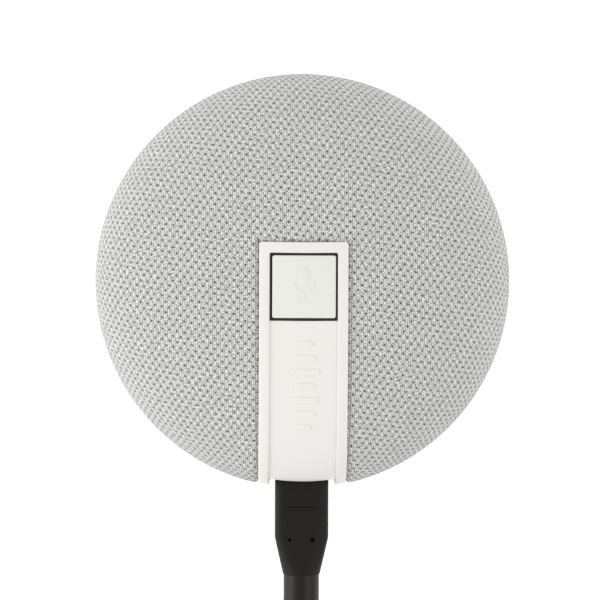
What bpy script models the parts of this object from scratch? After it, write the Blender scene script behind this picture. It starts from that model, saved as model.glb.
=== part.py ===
"""A pebble-shaped smart speaker with a white strap, one square button and a detachable lead.

Run it with: blender --background --python part.py
The speaker stands on its rubber foot at z = 0, +Z is up, and the lead leaves towards -Y.
Lengths are in millimetres up to the point where a mesh is made; MM turns them into metres.
"""

import math

import bmesh
import bpy
from mathutils import Matrix, Vector

MM = 0.001

# Pebble: a turned superellipse, flatter on top than a ball. Every outer piece is an offset of it.
BODY_R = 42.5
EQUATOR_Z = 12.0
DOME_RISE = 17.4
UNDER_DROP = 16.0
ROUNDNESS = 2.3
SIDES = 36
DOME_STEPS = 8
UNDER_STEPS = 4

# Layers of the shell, as offsets from the pebble's surface.
FABRIC_IN = -0.9
GRILLE_OUT, GRILLE_IN = -1.2, -3.0
RAIL_OUT, STRAP_IN = 0.5, -0.9
PANEL_OUT, PANEL_IN = 0.15, -0.8
BASE_TOP_Z = 5.0
HEM_Z = 5.3

# Strap and button.
STRAP_HALF = 8.9
RAIL_INNER = 6.8
STRAP_TOP_Y = 7.7
BUTTON_Y = -1.15
BUTTON_HALF = 6.32
OPENING_HALF = 6.85
BUTTON_TOP_Z = 29.8
PANEL_END_Z = 15.4

# Base, foot and the screws that hold the two halves together.
FLOOR_BOTTOM, FLOOR_TOP = 0.8, 3.2
FOOT_IN, FOOT_OUT, FOOT_TOP = 21.1, 30.9, 1.5
LEG_XY = 19.1
CASE_POSTS = [(sx * LEG_XY, sy * LEG_XY) for sx in (-1, 1) for sy in (-1, 1)]
GRILLE_POSTS = [(sx * 28.66, sy * 10.43) for sx in (-1, 1) for sy in (-1, 1)]
BOARD_POSTS = [(30.0, 0.0), (-30.0, 0.0), (0.0, 30.0)]

# Boards and driver, bottom and top of each.
MAIN_BOARD = (7.4, 8.6)
CHASSIS = (18.4, 20.0)
MIC_BOARD = (20.3, 21.1)
BUTTON_BOARD = (24.4, 25.2)
BOARD_SCREW_X = 12.6
DRIVER_SIDES = 20

# Socket and plug. The plug's axis runs along -Y at this height.
PORT_Z = 10.5
PLUG_HALF_W, PLUG_HALF_T = 5.5, 3.5
PLUG_FACE_Y, PLUG_TAPER_Y, PLUG_END_Y = -39.7, -52.9, -60.5
SHELL_HALF_W, SHELL_HALF_T = 4.1, 1.225
SHELL_TIP_Y = -33.3

# Lead: cord diameter, and the coil in which its spare length is stored.
CORD_D = 7.3
COIL_CENTRE = (4.8, -137.2)
COIL_R_IN, COIL_R_OUT = 27.1, 49.3
COIL_BOTTOM, COIL_TOP = 0.1, 14.8
TAIL_R, TAIL_Z = 38.2, 18.8
TAIL_START, TAIL_TURN, TAIL_STRAIGHT = math.radians(270), math.radians(213), 4.0
TIE_ANGLE = math.radians(190)
TIE_HALF_W, TIE_WALL = 5.0, 0.8
# Route of the loose stretch from the plug to where it joins the coil's outer turn.
LEAD_ROUTE = [
    (0.0, -60.9, 10.5),
    (0.0, -66.5, 10.2),
    (-0.55, -72.8, 9.3),
    (-2.2, -78.8, 7.9),
    (-4.8, -84.5, 6.4),
    (-8.4, -89.6, 5.0),
    (-12.9, -94.1, 4.1),
    (-18.0, -97.7, 3.75),
]


# ---------------------------------------------------------------- materials

def material(name, colour, roughness, metallic=0.0):
    made = bpy.data.materials.new(name)
    made.use_nodes = True
    shader = made.node_tree.nodes["Principled BSDF"]
    shader.inputs["Base Color"].default_value = (*colour, 1.0)
    shader.inputs["Roughness"].default_value = roughness
    shader.inputs["Metallic"].default_value = metallic
    made.diffuse_color = (*colour, 1.0)
    return made


def all_materials():
    return {
        "fabric": material("grey_knit", (0.58, 0.58, 0.57), 0.9),
        "white": material("white_moulding", (0.84, 0.84, 0.81), 0.45),
        "smoke": material("smoked_light_guide", (0.02, 0.02, 0.02), 0.25),
        "base": material("grey_moulding", (0.62, 0.62, 0.61), 0.55),
        "inner": material("black_moulding", (0.03, 0.03, 0.032), 0.55),
        "rubber": material("grey_rubber", (0.16, 0.16, 0.165), 0.85),
        "pvc": material("black_pvc", (0.021, 0.020, 0.019), 0.5),
        "steel": material("bright_steel", (0.62, 0.62, 0.63), 0.3, 1.0),
        "cast": material("ballast_iron", (0.30, 0.30, 0.31), 0.5, 1.0),
        "copper": material("copper_wire", (0.72, 0.36, 0.2), 0.35, 1.0),
        "board": material("green_board", (0.02, 0.16, 0.07), 0.45),
        "chip": material("chip_epoxy", (0.03, 0.03, 0.032), 0.5),
        "cone": material("paper_cone", (0.05, 0.05, 0.052), 0.8),
        "foam": material("grey_foam", (0.10, 0.10, 0.10), 0.95),
        "cloth": material("impregnated_cloth", (0.62, 0.42, 0.16), 0.9),
        "led": material("led_epoxy", (0.85, 0.82, 0.70), 0.3),
        "ribbon": material("orange_ribbon", (0.62, 0.28, 0.04), 0.4),
        "red": material("red_wire", (0.55, 0.03, 0.02), 0.5),
    }


# ---------------------------------------------------------------- mesh helpers

def finish_object(name, bm, paint, smooth_angle=35.0):
    """Makes the bmesh an object in metres, with its faces pointing out."""
    bmesh.ops.recalc_face_normals(bm, faces=bm.faces)
    bmesh.ops.scale(bm, vec=(MM, MM, MM), verts=bm.verts)
    mesh = bpy.data.meshes.new(name)
    bm.to_mesh(mesh)
    bm.free()
    mesh.shade_smooth()
    mesh.set_sharp_from_angle(angle=math.radians(smooth_angle))
    obj = bpy.data.objects.new(name, mesh)
    if paint:
        mesh.materials.append(paint)
    bpy.context.scene.collection.objects.link(obj)
    return obj


def helper(name, bm):
    """A cutter or guide: it shapes other objects and isn't a part."""
    obj = finish_object(name, bm, None)
    obj.hide_render = True
    obj.display_type = "WIRE"
    return obj


def boolean(obj, operation, other):
    modifier = obj.modifiers.new(f"{operation.lower()}_{other.name}", "BOOLEAN")
    modifier.operation = operation
    modifier.solver = "EXACT"
    modifier.object = other


def add_lathe(bm, outline, sides, centre=(0.0, 0.0)):
    """Turns a closed outline of (radius, z) points about the vertical line through centre."""
    x, y = centre
    ring = [bm.verts.new((x + r, y, z)) for r, z in outline]
    edges = []
    for a, b in zip(ring, ring[1:] + ring[:1]):
        on_axis = abs(a.co.x - x) < 1e-6 and abs(b.co.x - x) < 1e-6
        if not on_axis:
            edges.append(bm.edges.new((a, b)))
    bmesh.ops.spin(
        bm,
        geom=ring + edges,
        cent=(x, y, 0.0),
        axis=(0.0, 0.0, 1.0),
        dvec=(0.0, 0.0, 0.0),
        angle=math.tau,
        steps=sides,
        use_merge=True,
        use_duplicate=False,
    )
    bmesh.ops.remove_doubles(bm, verts=bm.verts, dist=1e-4)


def lathe(outline, sides=SIDES, centre=(0.0, 0.0)):
    bm = bmesh.new()
    add_lathe(bm, outline, sides, centre)
    return bm


def add_cylinder(bm, centre, radius, z_low, z_high, sides=16):
    add_lathe(bm, [(0, z_low), (radius, z_low), (radius, z_high), (0, z_high)], sides, centre)


def cylinders(centres, radius, z_low, z_high, sides=16):
    bm = bmesh.new()
    for centre in centres:
        add_cylinder(bm, centre, radius, z_low, z_high, sides)
    return bm


def add_box(bm, x, y, z):
    """A box between two values on each axis."""
    made = bmesh.ops.create_cube(bm, size=1.0)
    size = Vector((x[1] - x[0], y[1] - y[0], z[1] - z[0]))
    middle = Vector(((x[0] + x[1]) / 2, (y[0] + y[1]) / 2, (z[0] + z[1]) / 2))
    place = Matrix.Translation(middle) @ Matrix.Diagonal((*size, 1.0))
    bmesh.ops.transform(bm, matrix=place, verts=made["verts"])


def boxes(*ranges):
    bm = bmesh.new()
    for x, y, z in ranges:
        add_box(bm, x, y, z)
    return bm


def rounded_rectangle(half_w, half_t, corner, per_corner=5):
    """Points round a rectangle with round corners, anticlockwise, as (across, up)."""
    points = []
    for quarter, (sx, sy) in enumerate([(1, 1), (-1, 1), (-1, -1), (1, -1)]):
        middle = (sx * (half_w - corner), sy * (half_t - corner))
        for i in range(per_corner):
            angle = math.pi / 2 * (quarter + i / (per_corner - 1))
            points.append((middle[0] + corner * math.cos(angle), middle[1] + corner * math.sin(angle)))
    return points


def add_loft(bm, sections):
    """Skins a row of sections, each a list of points, and closes both ends."""
    rings = [[bm.verts.new(p) for p in section] for section in sections]
    for near, far in zip(rings, rings[1:]):
        for i in range(len(near)):
            j = (i + 1) % len(near)
            bm.faces.new((near[i], near[j], far[j], far[i]))
    bm.faces.new(rings[0])
    bm.faces.new(rings[-1])


# ---------------------------------------------------------------- the pebble's profile

def pebble_point(turn, upper, offset):
    """A point of the pebble's outline, offset along its normal. turn is 0 at the equator and 1 at the pole."""
    power = 2.0 / ROUNDNESS
    angle = turn * math.pi / 2
    rise = DOME_RISE if upper else -UNDER_DROP
    r = BODY_R * max(math.cos(angle), 0.0) ** power
    height = math.sin(angle) ** power
    normal_r = (r / BODY_R) ** (ROUNDNESS - 1) / BODY_R
    normal_z = height ** (ROUNDNESS - 1) / rise
    length = math.hypot(normal_r, normal_z)
    return (max(r + offset * normal_r / length, 0.0), EQUATOR_Z + rise * height + offset * normal_z / length)


def dome_side(offset, z_low):
    """The offset outline from the pole down to the height z_low."""
    points = [(0.0, EQUATOR_Z + DOME_RISE + offset)]
    points += [pebble_point(1 - i / DOME_STEPS, True, offset) for i in range(1, DOME_STEPS)]
    under = [pebble_point(0.0, True, offset)]
    under += [pebble_point(0.62 * i / UNDER_STEPS, False, offset) for i in range(1, UNDER_STEPS + 1)]
    for above, below in zip(under, under[1:]):
        points.append(above)
        if below[1] < z_low:
            share = (above[1] - z_low) / (above[1] - below[1])
            points.append((above[0] + share * (below[0] - above[0]), z_low))
            break
    return points


def dome_shell(outer, inner, z_low):
    return lathe(dome_side(outer, z_low) + dome_side(inner, z_low)[::-1])


def under_radius(z):
    """The pebble's radius at a height below its equator."""
    share = ((EQUATOR_Z - z) / UNDER_DROP) ** ROUNDNESS
    return BODY_R * (1 - share) ** (1 / ROUNDNESS)


# ---------------------------------------------------------------- casing

def make_fabric_cover(paint):
    cover = finish_object("fabric_cover", dome_shell(0.0, FABRIC_IN, HEM_Z), paint["fabric"])
    slot = boxes(((-STRAP_HALF - 0.3, STRAP_HALF + 0.3), (-60, STRAP_TOP_Y + 0.3), (0, 40)))
    boolean(cover, "DIFFERENCE", helper("cover_slot", slot))


def sound_holes():
    """Vertical holes in rings, left out under the strap and beside the screw posts."""
    bm = bmesh.new()
    keep_off = [*GRILLE_POSTS, (BOARD_SCREW_X, BUTTON_Y), (-BOARD_SCREW_X, BUTTON_Y)]
    for radius, count in ((18.0, 10), (24.5, 12), (31.0, 16)):
        for i in range(count):
            angle = math.tau * (i + 0.5) / count
            x, y = radius * math.cos(angle), radius * math.sin(angle)
            under_strap = abs(x) < STRAP_HALF + 2.5 and y < STRAP_TOP_Y + 2.5
            near_post = any(math.hypot(x - px, y - py) < 4.0 for px, py in keep_off)
            if not under_strap and not near_post:
                add_cylinder(bm, (x, y), 1.9, EQUATOR_Z + 2, 40, 6)
    return bm


def make_grille_shell(paint):
    shell = finish_object("grille_shell", dome_shell(GRILLE_OUT, GRILLE_IN, HEM_Z), paint["white"])
    posts = cylinders(GRILLE_POSTS, 1.8, CHASSIS[1] + 0.3, 22.9, 12)
    for x in (-BOARD_SCREW_X, BOARD_SCREW_X):
        add_cylinder(posts, (x, BUTTON_Y), 1.8, BUTTON_BOARD[1] + 0.2, 27.2, 12)
    boolean(shell, "UNION", helper("grille_posts", posts))
    half = OPENING_HALF + 1.6
    openings = boxes(
        ((-half, half), (BUTTON_Y - half, BUTTON_Y + half), (22, 40)),
        ((-7.0, 7.0), (-60, -30), (0, PANEL_END_Z + 0.1)),
    )
    boolean(shell, "DIFFERENCE", helper("grille_openings", openings))
    boolean(shell, "DIFFERENCE", helper("grille_sound_holes", sound_holes()))
    pilots = cylinders(GRILLE_POSTS, 1.15, CHASSIS[1] - 1, 22.5, 8)
    for x in (-BOARD_SCREW_X, BOARD_SCREW_X):
        add_cylinder(pilots, (x, BUTTON_Y), 0.95, BUTTON_BOARD[1] - 1, 26.9, 8)
    boolean(shell, "DIFFERENCE", helper("grille_pilots", pilots))


def make_strap_trim(paint):
    """The raised frame round the button, its two rails and the sunk panel between them."""
    strap = finish_object("strap_trim", dome_shell(RAIL_OUT, STRAP_IN, HEM_Z), paint["white"])
    span = boxes(((-STRAP_HALF, STRAP_HALF), (-60, STRAP_TOP_Y), (0, 40)))
    boolean(strap, "INTERSECT", helper("strap_span", span))
    middle = boxes(((-RAIL_INNER, RAIL_INNER), (-60, BUTTON_Y + OPENING_HALF), (0, 40)))
    boolean(strap, "DIFFERENCE", helper("strap_middle", middle))
    panel = helper("strap_panel", dome_shell(PANEL_OUT, PANEL_IN, HEM_Z))
    area = ((-RAIL_INNER - 0.4, RAIL_INNER + 0.4), (-60, BUTTON_Y - OPENING_HALF), (PANEL_END_Z, 40))
    boolean(panel, "INTERSECT", helper("strap_panel_area", boxes(area)))
    boolean(strap, "UNION", panel)


def make_port_frame(paint):
    """The pocket that the plug's moulding enters, with a window for the socket in its back wall."""
    frame = finish_object("port_frame", boxes(((-6.55, 6.55), (-60, -38.0), (5.9, 15.1))), paint["white"])
    outside = helper("port_outside", lathe([(0, 0), (41.3, 5.5), (42.4, 12), (42.0, 16), (0, 16)]))
    boolean(frame, "INTERSECT", outside)
    hollow = boxes(((-6.1, 6.1), (-70, -38.8), (6.4, 14.6)))
    boolean(frame, "DIFFERENCE", helper("port_hollow", hollow))
    window = boxes(((-4.8, 4.8), (-70, -30), (PORT_Z - 1.95, PORT_Z + 1.95)))
    boolean(frame, "DIFFERENCE", helper("port_window", window))


def make_base_housing(paint):
    outline = [
        (0, FLOOR_BOTTOM),
        (20.8, FLOOR_BOTTOM),
        (20.8, 1.8),
        (31.2, 1.8),
        (31.2, FLOOR_BOTTOM),
        (under_radius(FLOOR_BOTTOM), FLOOR_BOTTOM),
        (under_radius(2.0), 2.0),
        (under_radius(3.4), 3.4),
        (under_radius(BASE_TOP_Z), BASE_TOP_Z),
        (34.6, BASE_TOP_Z),
        (34.6, 7.0),
        (33.7, 7.0),
        (33.7, 4.2),
        (32.9, FLOOR_TOP),
        (0, FLOOR_TOP),
    ]
    base = finish_object("base_housing", lathe(outline), paint["base"])
    posts = cylinders(CASE_POSTS, 4.2, 2.4, 5.2, 14)
    for centre in BOARD_POSTS:
        add_cylinder(posts, centre, 2.2, 2.4, MAIN_BOARD[0] - 0.3, 12)
    boolean(base, "UNION", helper("base_posts", posts))
    holes = cylinders(CASE_POSTS, 2.6, 0, 3.6, 14)
    notch = boxes(((-7.4, 7.4), (-60, -30), (BASE_TOP_Z + 0.2, 10)))
    boolean(base, "DIFFERENCE", helper("base_counterbores", holes))
    boolean(base, "DIFFERENCE", helper("base_screw_holes", cylinders(CASE_POSTS, 1.5, 0, 6, 10)))
    boolean(base, "DIFFERENCE", helper("base_pilots", cylinders(BOARD_POSTS, 0.85, 3.6, 9, 8)))
    boolean(base, "DIFFERENCE", helper("base_port_notch", notch))


def make_foot_pad(paint):
    outline = [(FOOT_IN, 0), (FOOT_OUT - 0.5, 0), (FOOT_OUT, 0.5), (FOOT_OUT, FOOT_TOP), (FOOT_IN, FOOT_TOP)]
    finish_object("foot_pad", lathe(outline), paint["rubber"])


def make_ballast_plate(paint):
    outline = [(5, 3.5), (21.6, 3.5), (22.0, 3.9), (22.0, 5.6), (21.6, 6.0), (5, 6.0)]
    finish_object("ballast_plate", lathe(outline, 36), paint["cast"])


def screw_outline(head_r, shank_r, head_z, seat_z, tip_z):
    """A screw with a socket in its head. The head is at head_z, it bears at seat_z and ends at tip_z."""
    up = 1 if tip_z > seat_z else -1
    return [
        (0, head_z + up * 0.6),
        (head_r * 0.42, head_z + up * 0.6),
        (head_r * 0.42, head_z),
        (head_r, head_z),
        (head_r, seat_z),
        (shank_r, seat_z),
        (shank_r, tip_z - up * shank_r),
        (0, tip_z),
    ]


def make_screws(name, centres, outline, paint):
    for number, centre in enumerate(centres, start=1):
        finish_object(f"{name}_{number}", lathe(outline, 8, centre), paint["steel"])


def make_chassis(paint):
    """The plate that carries the driver, on four legs that take the case screws."""
    chassis = finish_object(
        "inner_chassis",
        lathe([(18.9, CHASSIS[0]), (33.9, CHASSIS[0]), (33.9, CHASSIS[1]), (18.9, CHASSIS[1])]),
        paint["inner"],
    )
    legs = cylinders(CASE_POSTS, 2.8, 5.5, CHASSIS[0] + 0.6, 14)
    boolean(chassis, "UNION", helper("chassis_legs", legs))
    boolean(chassis, "DIFFERENCE", helper("leg_pilots", cylinders(CASE_POSTS, 1.45, 4, 12.5, 10)))
    through = cylinders(GRILLE_POSTS, 1.15, 17, 30, 8)
    boolean(chassis, "DIFFERENCE", helper("chassis_holes", through))
    slot = boxes(((-3.6, 3.6), (21.9, 22.9), (17, 30)))
    boolean(chassis, "DIFFERENCE", helper("ribbon_slot", slot))


# ---------------------------------------------------------------- driver

def make_driver(paint, cone_axis):
    basket_outline = [
        (8.2, 13.6),
        (12.9, 13.6),
        (14.2, 15.4),
        (17.9, 19.4),
        (18.3, 20.2),
        (21.6, 20.2),
        (21.6, 21.0),
        (17.6, 21.0),
        (17.2, 19.9),
        (13.5, 15.9),
        (12.5, 14.4),
        (8.2, 14.4),
    ]
    basket = finish_object("driver_basket", lathe(basket_outline, DRIVER_SIDES), paint["inner"])
    windows = bmesh.new()
    for i in range(6):
        turn = Matrix.Rotation(math.tau * (i + 0.5) / 6, 4, "Z")
        before = set(windows.verts)
        add_box(windows, (12.6, 18.4), (-4.2, 4.2), (16.2, 19.0))
        added = [v for v in windows.verts if v not in before]
        bmesh.ops.transform(windows, matrix=turn, verts=added)
    boolean(basket, "DIFFERENCE", helper("basket_windows", windows))

    cup = [(0, 9.2), (9.1, 9.2), (9.5, 9.6), (9.5, 13.4), (8.1, 13.4), (8.1, 10.2), (0, 10.2)]
    finish_object("magnet_cup", lathe(cup, DRIVER_SIDES), paint["steel"])
    finish_object("magnet", lathe([(0, 10.35), (6.2, 10.35), (6.2, 12.1), (0, 12.1)], DRIVER_SIDES), paint["cast"])
    pole = [(0, 12.25), (6.5, 12.25), (6.5, 13.6), (6.3, 13.8), (0, 13.8)]
    finish_object("pole_plate", lathe(pole, DRIVER_SIDES), paint["steel"])

    coil = [(6.9, 11.6), (7.55, 11.6), (7.55, 13.4), (7.2, 13.4), (7.2, 17.2), (6.9, 17.2)]
    cone = [(7.45, 16.4), (14.5, 20.3), (14.5, 20.75), (7.45, 16.85)]
    cap = [(0, 18.65), (4.0, 18.3), (7.9, 17.45), (7.9, 17.75), (4.0, 18.65), (0, 19.0)]
    for name, outline, finish in (
        ("voice_coil", coil, "copper"),
        ("driver_cone", cone, "cone"),
        ("dust_cap", cap, "cone"),
    ):
        carry(finish_object(name, lathe(outline, DRIVER_SIDES), paint[finish]), cone_axis)

    waves = 8
    wave = [(7.6 + 5.4 * i / waves, 15.75 + 0.3 * math.sin(math.pi * i / 2)) for i in range(waves + 1)]
    spider = wave + [(r, z + 0.35) for r, z in reversed(wave)]
    finish_object("driver_spider", lathe(spider, DRIVER_SIDES), paint["cloth"])

    def roll(radius, start, end):
        steps = 4
        return [
            (16.25 + radius * math.cos(math.radians(start + (end - start) * i / steps)),
             21.25 + radius * math.sin(math.radians(start + (end - start) * i / steps)))
            for i in range(steps + 1)
        ]

    surround = [(13.9, 21.0), (14.9, 21.0), *roll(1.25, 180, 0), (18.6, 21.25), (18.6, 21.6)]
    surround += [*roll(1.6, 12, 168), (13.9, 21.35)]
    finish_object("driver_surround", lathe(surround, DRIVER_SIDES), paint["rubber"])
    gasket = [(17.3, 23.9), (17.3, 23.2), (18.1, 21.9), (18.9, 21.9), (18.9, 23.9)]
    finish_object("front_gasket", lathe(gasket, DRIVER_SIDES), paint["foam"])


# ---------------------------------------------------------------- boards

def make_main_board(paint):
    board = finish_object(
        "main_board",
        lathe([(0, MAIN_BOARD[0]), (33.2, MAIN_BOARD[0]), (33.2, MAIN_BOARD[1]), (0, MAIN_BOARD[1])]),
        paint["board"],
    )
    tab = boxes(((-6.0, 6.0), (-36.4, -28), (MAIN_BOARD[0] + 0.001, MAIN_BOARD[1] - 0.001)))
    boolean(board, "UNION", helper("board_tab", tab))
    holes = cylinders(CASE_POSTS, 3.3, 5, 12, 12)
    for centre in BOARD_POSTS:
        add_cylinder(holes, centre, 1.15, 5, 12, 8)
    boolean(board, "DIFFERENCE", helper("board_holes", holes))

    top = MAIN_BOARD[1] + 0.2
    finish_object("shield_can", boxes(((12.6, 28.0), (-8.0, 8.0), (top, top + 2.4))), paint["steel"])
    finish_object("sound_processor", boxes(((-4.0, 4.0), (-24.0, -17.0), (top, top + 1.1))), paint["chip"])
    for number, centre in enumerate(((-11.0, -21.5), (11.0, 24.5)), start=1):
        can = cylinders([centre], 2.4, top, top + 5.2, 14)
        finish_object(f"capacitor_{number}", can, paint["steel"])
    finish_object("speaker_connector", boxes(((-25.6, -20.8), (-0.4, 6.4), (top, top + 1.9))), paint["led"])
    finish_object("board_connector", boxes(((-4.0, 4.0), (21.2, 24.2), (top, top + 1.3))), paint["led"])


def rounded_tube(half_w, half_t, wall, y_mouth, y_back, back_wall):
    """A rounded rectangular can along Y at the port's height, open at y_mouth."""
    corner = half_t * 0.96
    outer = rounded_rectangle(half_w, half_t, corner)
    inner = rounded_rectangle(half_w - wall, half_t - wall, corner - wall)
    side = 1 if y_back > y_mouth else -1
    rows = [(outer, y_back), (outer, y_mouth), (inner, y_mouth), (inner, y_back - side * back_wall)]
    bm = bmesh.new()
    add_loft(bm, [[(x, y, PORT_Z + z) for x, z in ring] for ring, y in rows])
    return bm


def make_receptacle(paint):
    can = rounded_tube(4.5, 1.65, 0.2, -39.3, -31.8, 0.4)
    finish_object("usb_receptacle", can, paint["steel"])
    tongue = rounded_tube(3.3, 0.35, 0.1, -37.6, -32.6, 4.8)
    finish_object("receptacle_tongue", tongue, paint["inner"])


def make_mic_array(paint):
    """A ring of board with four microphones soldered to it."""
    ring = [(23.7, MIC_BOARD[0]), (28.2, MIC_BOARD[0]), (28.2, MIC_BOARD[1]), (23.7, MIC_BOARD[1])]
    board = finish_object("mic_board", lathe(ring), paint["board"])
    places = [(25.8 * math.cos(a), 25.8 * math.sin(a)) for a in (math.pi * q / 4 for q in (1, 3, 5, 7))]
    mics = boxes(*[((x - 1.3, x + 1.3), (y - 1.3, y + 1.3), (20.7, MIC_BOARD[1] + 1.1)) for x, y in places])
    boolean(board, "UNION", helper("microphones", mics))


def make_button_group(paint, button_axis, plunger_axis):
    half = 6.5
    board = finish_object(
        "button_board",
        boxes(((-15.0, 15.0), (BUTTON_Y - half, BUTTON_Y + half), BUTTON_BOARD)),
        paint["board"],
    )
    screw_places = [(-BOARD_SCREW_X, BUTTON_Y), (BOARD_SCREW_X, BUTTON_Y)]
    boolean(board, "DIFFERENCE", helper("button_board_holes", cylinders(screw_places, 0.9, 20, 30, 12)))
    make_screws("button_board_screw", screw_places, screw_outline(1.7, 0.55, 23.2, 24.2, 26.6), paint)

    low = BUTTON_BOARD[1] + 0.2
    switch = finish_object("switch_body", boxes(((-3, 3), (BUTTON_Y - 3, BUTTON_Y + 3), (low, 26.9))), paint["inner"])
    bore = cylinders([(0, BUTTON_Y)], 1.6, 25.8, 28, 16)
    boolean(switch, "DIFFERENCE", helper("switch_bore", bore))
    plunger = finish_object("switch_plunger", cylinders([(0, BUTTON_Y)], 1.25, 26.45, 27.25, 16), paint["led"])
    carry(plunger, plunger_axis)

    for name, x in (("status_led_left", -5.7), ("status_led_right", 5.7)):
        led = boxes(((x - 0.7, x + 0.7), (BUTTON_Y - 5.6, BUTTON_Y - 4.8), (low, low + 0.6)))
        finish_object(name, led, paint["led"])
    connector = boxes(((-4.0, 4.0), (1.2, 4.4), (BUTTON_BOARD[0] - 1.2, BUTTON_BOARD[0] - 0.2)))
    finish_object("button_connector", connector, paint["led"])

    def square(half_side, z):
        return [(sx * half_side, BUTTON_Y + sy * half_side, z) for sx, sy in ((1, 1), (-1, 1), (-1, -1), (1, -1))]

    guide = bmesh.new()
    rows = [(8.2, 25.9), (8.2, 27.6), (6.72, 27.6), (6.72, 29.2), (6.5, 29.2), (6.5, 27.2), (6.95, 27.2), (6.95, 25.9)]
    rings = [[guide.verts.new(p) for p in square(h, z)] for h, z in rows]
    for near, far in zip(rings, rings[1:] + rings[:1]):
        for i in range(4):
            j = (i + 1) % 4
            guide.faces.new((near[i], near[j], far[j], far[i]))
    finish_object("light_guide", guide, paint["smoke"])

    button = bmesh.new()
    skirt_half = BUTTON_HALF + 0.33
    rows = [
        (skirt_half, 26.6), (skirt_half, 27.0), (BUTTON_HALF, 27.0), (BUTTON_HALF, BUTTON_TOP_Z - 0.25),
        (BUTTON_HALF - 0.25, BUTTON_TOP_Z),
    ]
    inside = [(5.2, 28.7), (5.2, 26.6)]
    rings = [[button.verts.new(p) for p in square(h, z)] for h, z in rows + inside]
    outer_count = len(rows)
    outside = rings[:outer_count]
    for near, far in zip(outside, outside[1:]):
        for i in range(4):
            j = (i + 1) % 4
            button.faces.new((near[i], near[j], far[j], far[i]))
    button.faces.new(rings[outer_count - 1])
    button.faces.new(rings[outer_count])
    for i in range(4):
        j = (i + 1) % 4
        button.faces.new((rings[-2][i], rings[-2][j], rings[-1][j], rings[-1][i]))
        button.faces.new((rings[-1][i], rings[-1][j], rings[0][j], rings[0][i]))
    cap = finish_object("mute_button", button, paint["white"])
    stem = cylinders([(0, BUTTON_Y)], 1.5, 27.4, 29.0, 16)
    boolean(cap, "UNION", helper("button_stem", stem))
    carry(cap, button_axis)


def add_ribbon(bm, path, half_w, thickness):
    """A flat strip across X that follows a path of (y, z) points."""
    left, right = [], []
    for i, (y, z) in enumerate(path):
        before, after = path[max(i - 1, 0)], path[min(i + 1, len(path) - 1)]
        along = Vector((after[0] - before[0], after[1] - before[1])).normalized()
        out = Vector((-along.y, along.x)) * thickness / 2
        left.append((y + out.x, z + out.y))
        right.append((y - out.x, z - out.y))
    loop = left + right[::-1]
    ends = [[bm.verts.new((x, y, z)) for y, z in loop] for x in (-half_w, half_w)]
    count = len(loop)
    for i in range(count):
        j = (i + 1) % count
        bm.faces.new((ends[0][i], ends[0][j], ends[1][j], ends[1][i]))
    for end in ends:
        for i in range(len(path) - 1):
            bm.faces.new((end[i], end[i + 1], end[count - 2 - i], end[count - 1 - i]))


def make_wiring(paint):
    bm = bmesh.new()
    add_ribbon(bm, [(4.7, 23.7), (6.5, 24.0), (8.5, 24.45), (19.5, 24.45), (21.6, 24.0), (22.4, 22.6),
                    (22.4, 10.5)], 3.0, 0.2)
    finish_object("flat_ribbon", bm, paint["ribbon"])
    for name, y, finish in (("wire_plus", 1.7, "red"), ("wire_minus", -1.7, "pvc")):
        end_y = y + 3.0
        route = [(-17.6, y, 14.9), (-18.0, y, 14.0), (-20.2, y + 1.2, 12.8), (-23.0, end_y - 0.6, 12.4),
                 (-23.6, end_y, 11.6), (-23.6, end_y, 11.0)]
        tube(name, route, 0.55, paint[finish], 1)


# ---------------------------------------------------------------- lead

def tube(name, points, radius, paint, resolution):
    """A round cord as a curve with a bevel and filled caps."""
    curve = bpy.data.curves.new(name, "CURVE")
    curve.dimensions = "3D"
    curve.bevel_depth = radius * MM
    curve.bevel_resolution = resolution
    curve.use_fill_caps = True
    spline = curve.splines.new("POLY")
    spline.points.add(len(points) - 1)
    for point, place in zip(spline.points, points):
        point.co = (*(Vector(place) * MM), 1.0)
    curve.materials.append(paint)
    obj = bpy.data.objects.new(name, curve)
    bpy.context.scene.collection.objects.link(obj)
    return obj


def tail_point(angle):
    """A point of the last turn, which lies on top of the coil."""
    return Vector((COIL_CENTRE[0] + TAIL_R * math.cos(angle), COIL_CENTRE[1] + TAIL_R * math.sin(angle), TAIL_Z))


def plug_moulding(frame):
    """The plug's overmoulding, built along -Y with its face at y = 0, then placed by frame."""
    straight = PLUG_FACE_Y - PLUG_TAPER_Y
    whole = PLUG_FACE_Y - PLUG_END_Y
    round_end = CORD_D / 2 + 0.05
    rows = [
        (0.0, PLUG_HALF_W - 0.3, PLUG_HALF_T - 0.3, 1.3),
        (0.3, PLUG_HALF_W, PLUG_HALF_T, 1.6),
        (straight, PLUG_HALF_W, PLUG_HALF_T, 1.6),
        (straight + 0.75 * (whole - straight), 4.1, 3.72, 3.0),
        (whole, round_end, round_end, round_end - 0.01),
    ]
    bm = bmesh.new()
    add_loft(bm, [[frame @ Vector((x, -y, z)) for x, z in rounded_rectangle(w, t, c)] for y, w, t, c in rows])
    return bm


def plug_shell(frame):
    """The plug's metal tongue shell, from just inside the moulding's face to its open tip."""
    long = SHELL_TIP_Y - PLUG_FACE_Y
    outer = rounded_rectangle(SHELL_HALF_W, SHELL_HALF_T, SHELL_HALF_T * 0.96)
    inner = rounded_rectangle(SHELL_HALF_W - 0.25, SHELL_HALF_T - 0.25, SHELL_HALF_T * 0.96 - 0.25)
    rows = [(outer, 0.2), (outer, long), (inner, long), (inner, 0.6)]
    bm = bmesh.new()
    add_loft(bm, [[frame @ Vector((x, y, z)) for x, z in ring] for ring, y in rows])
    return bm


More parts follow.
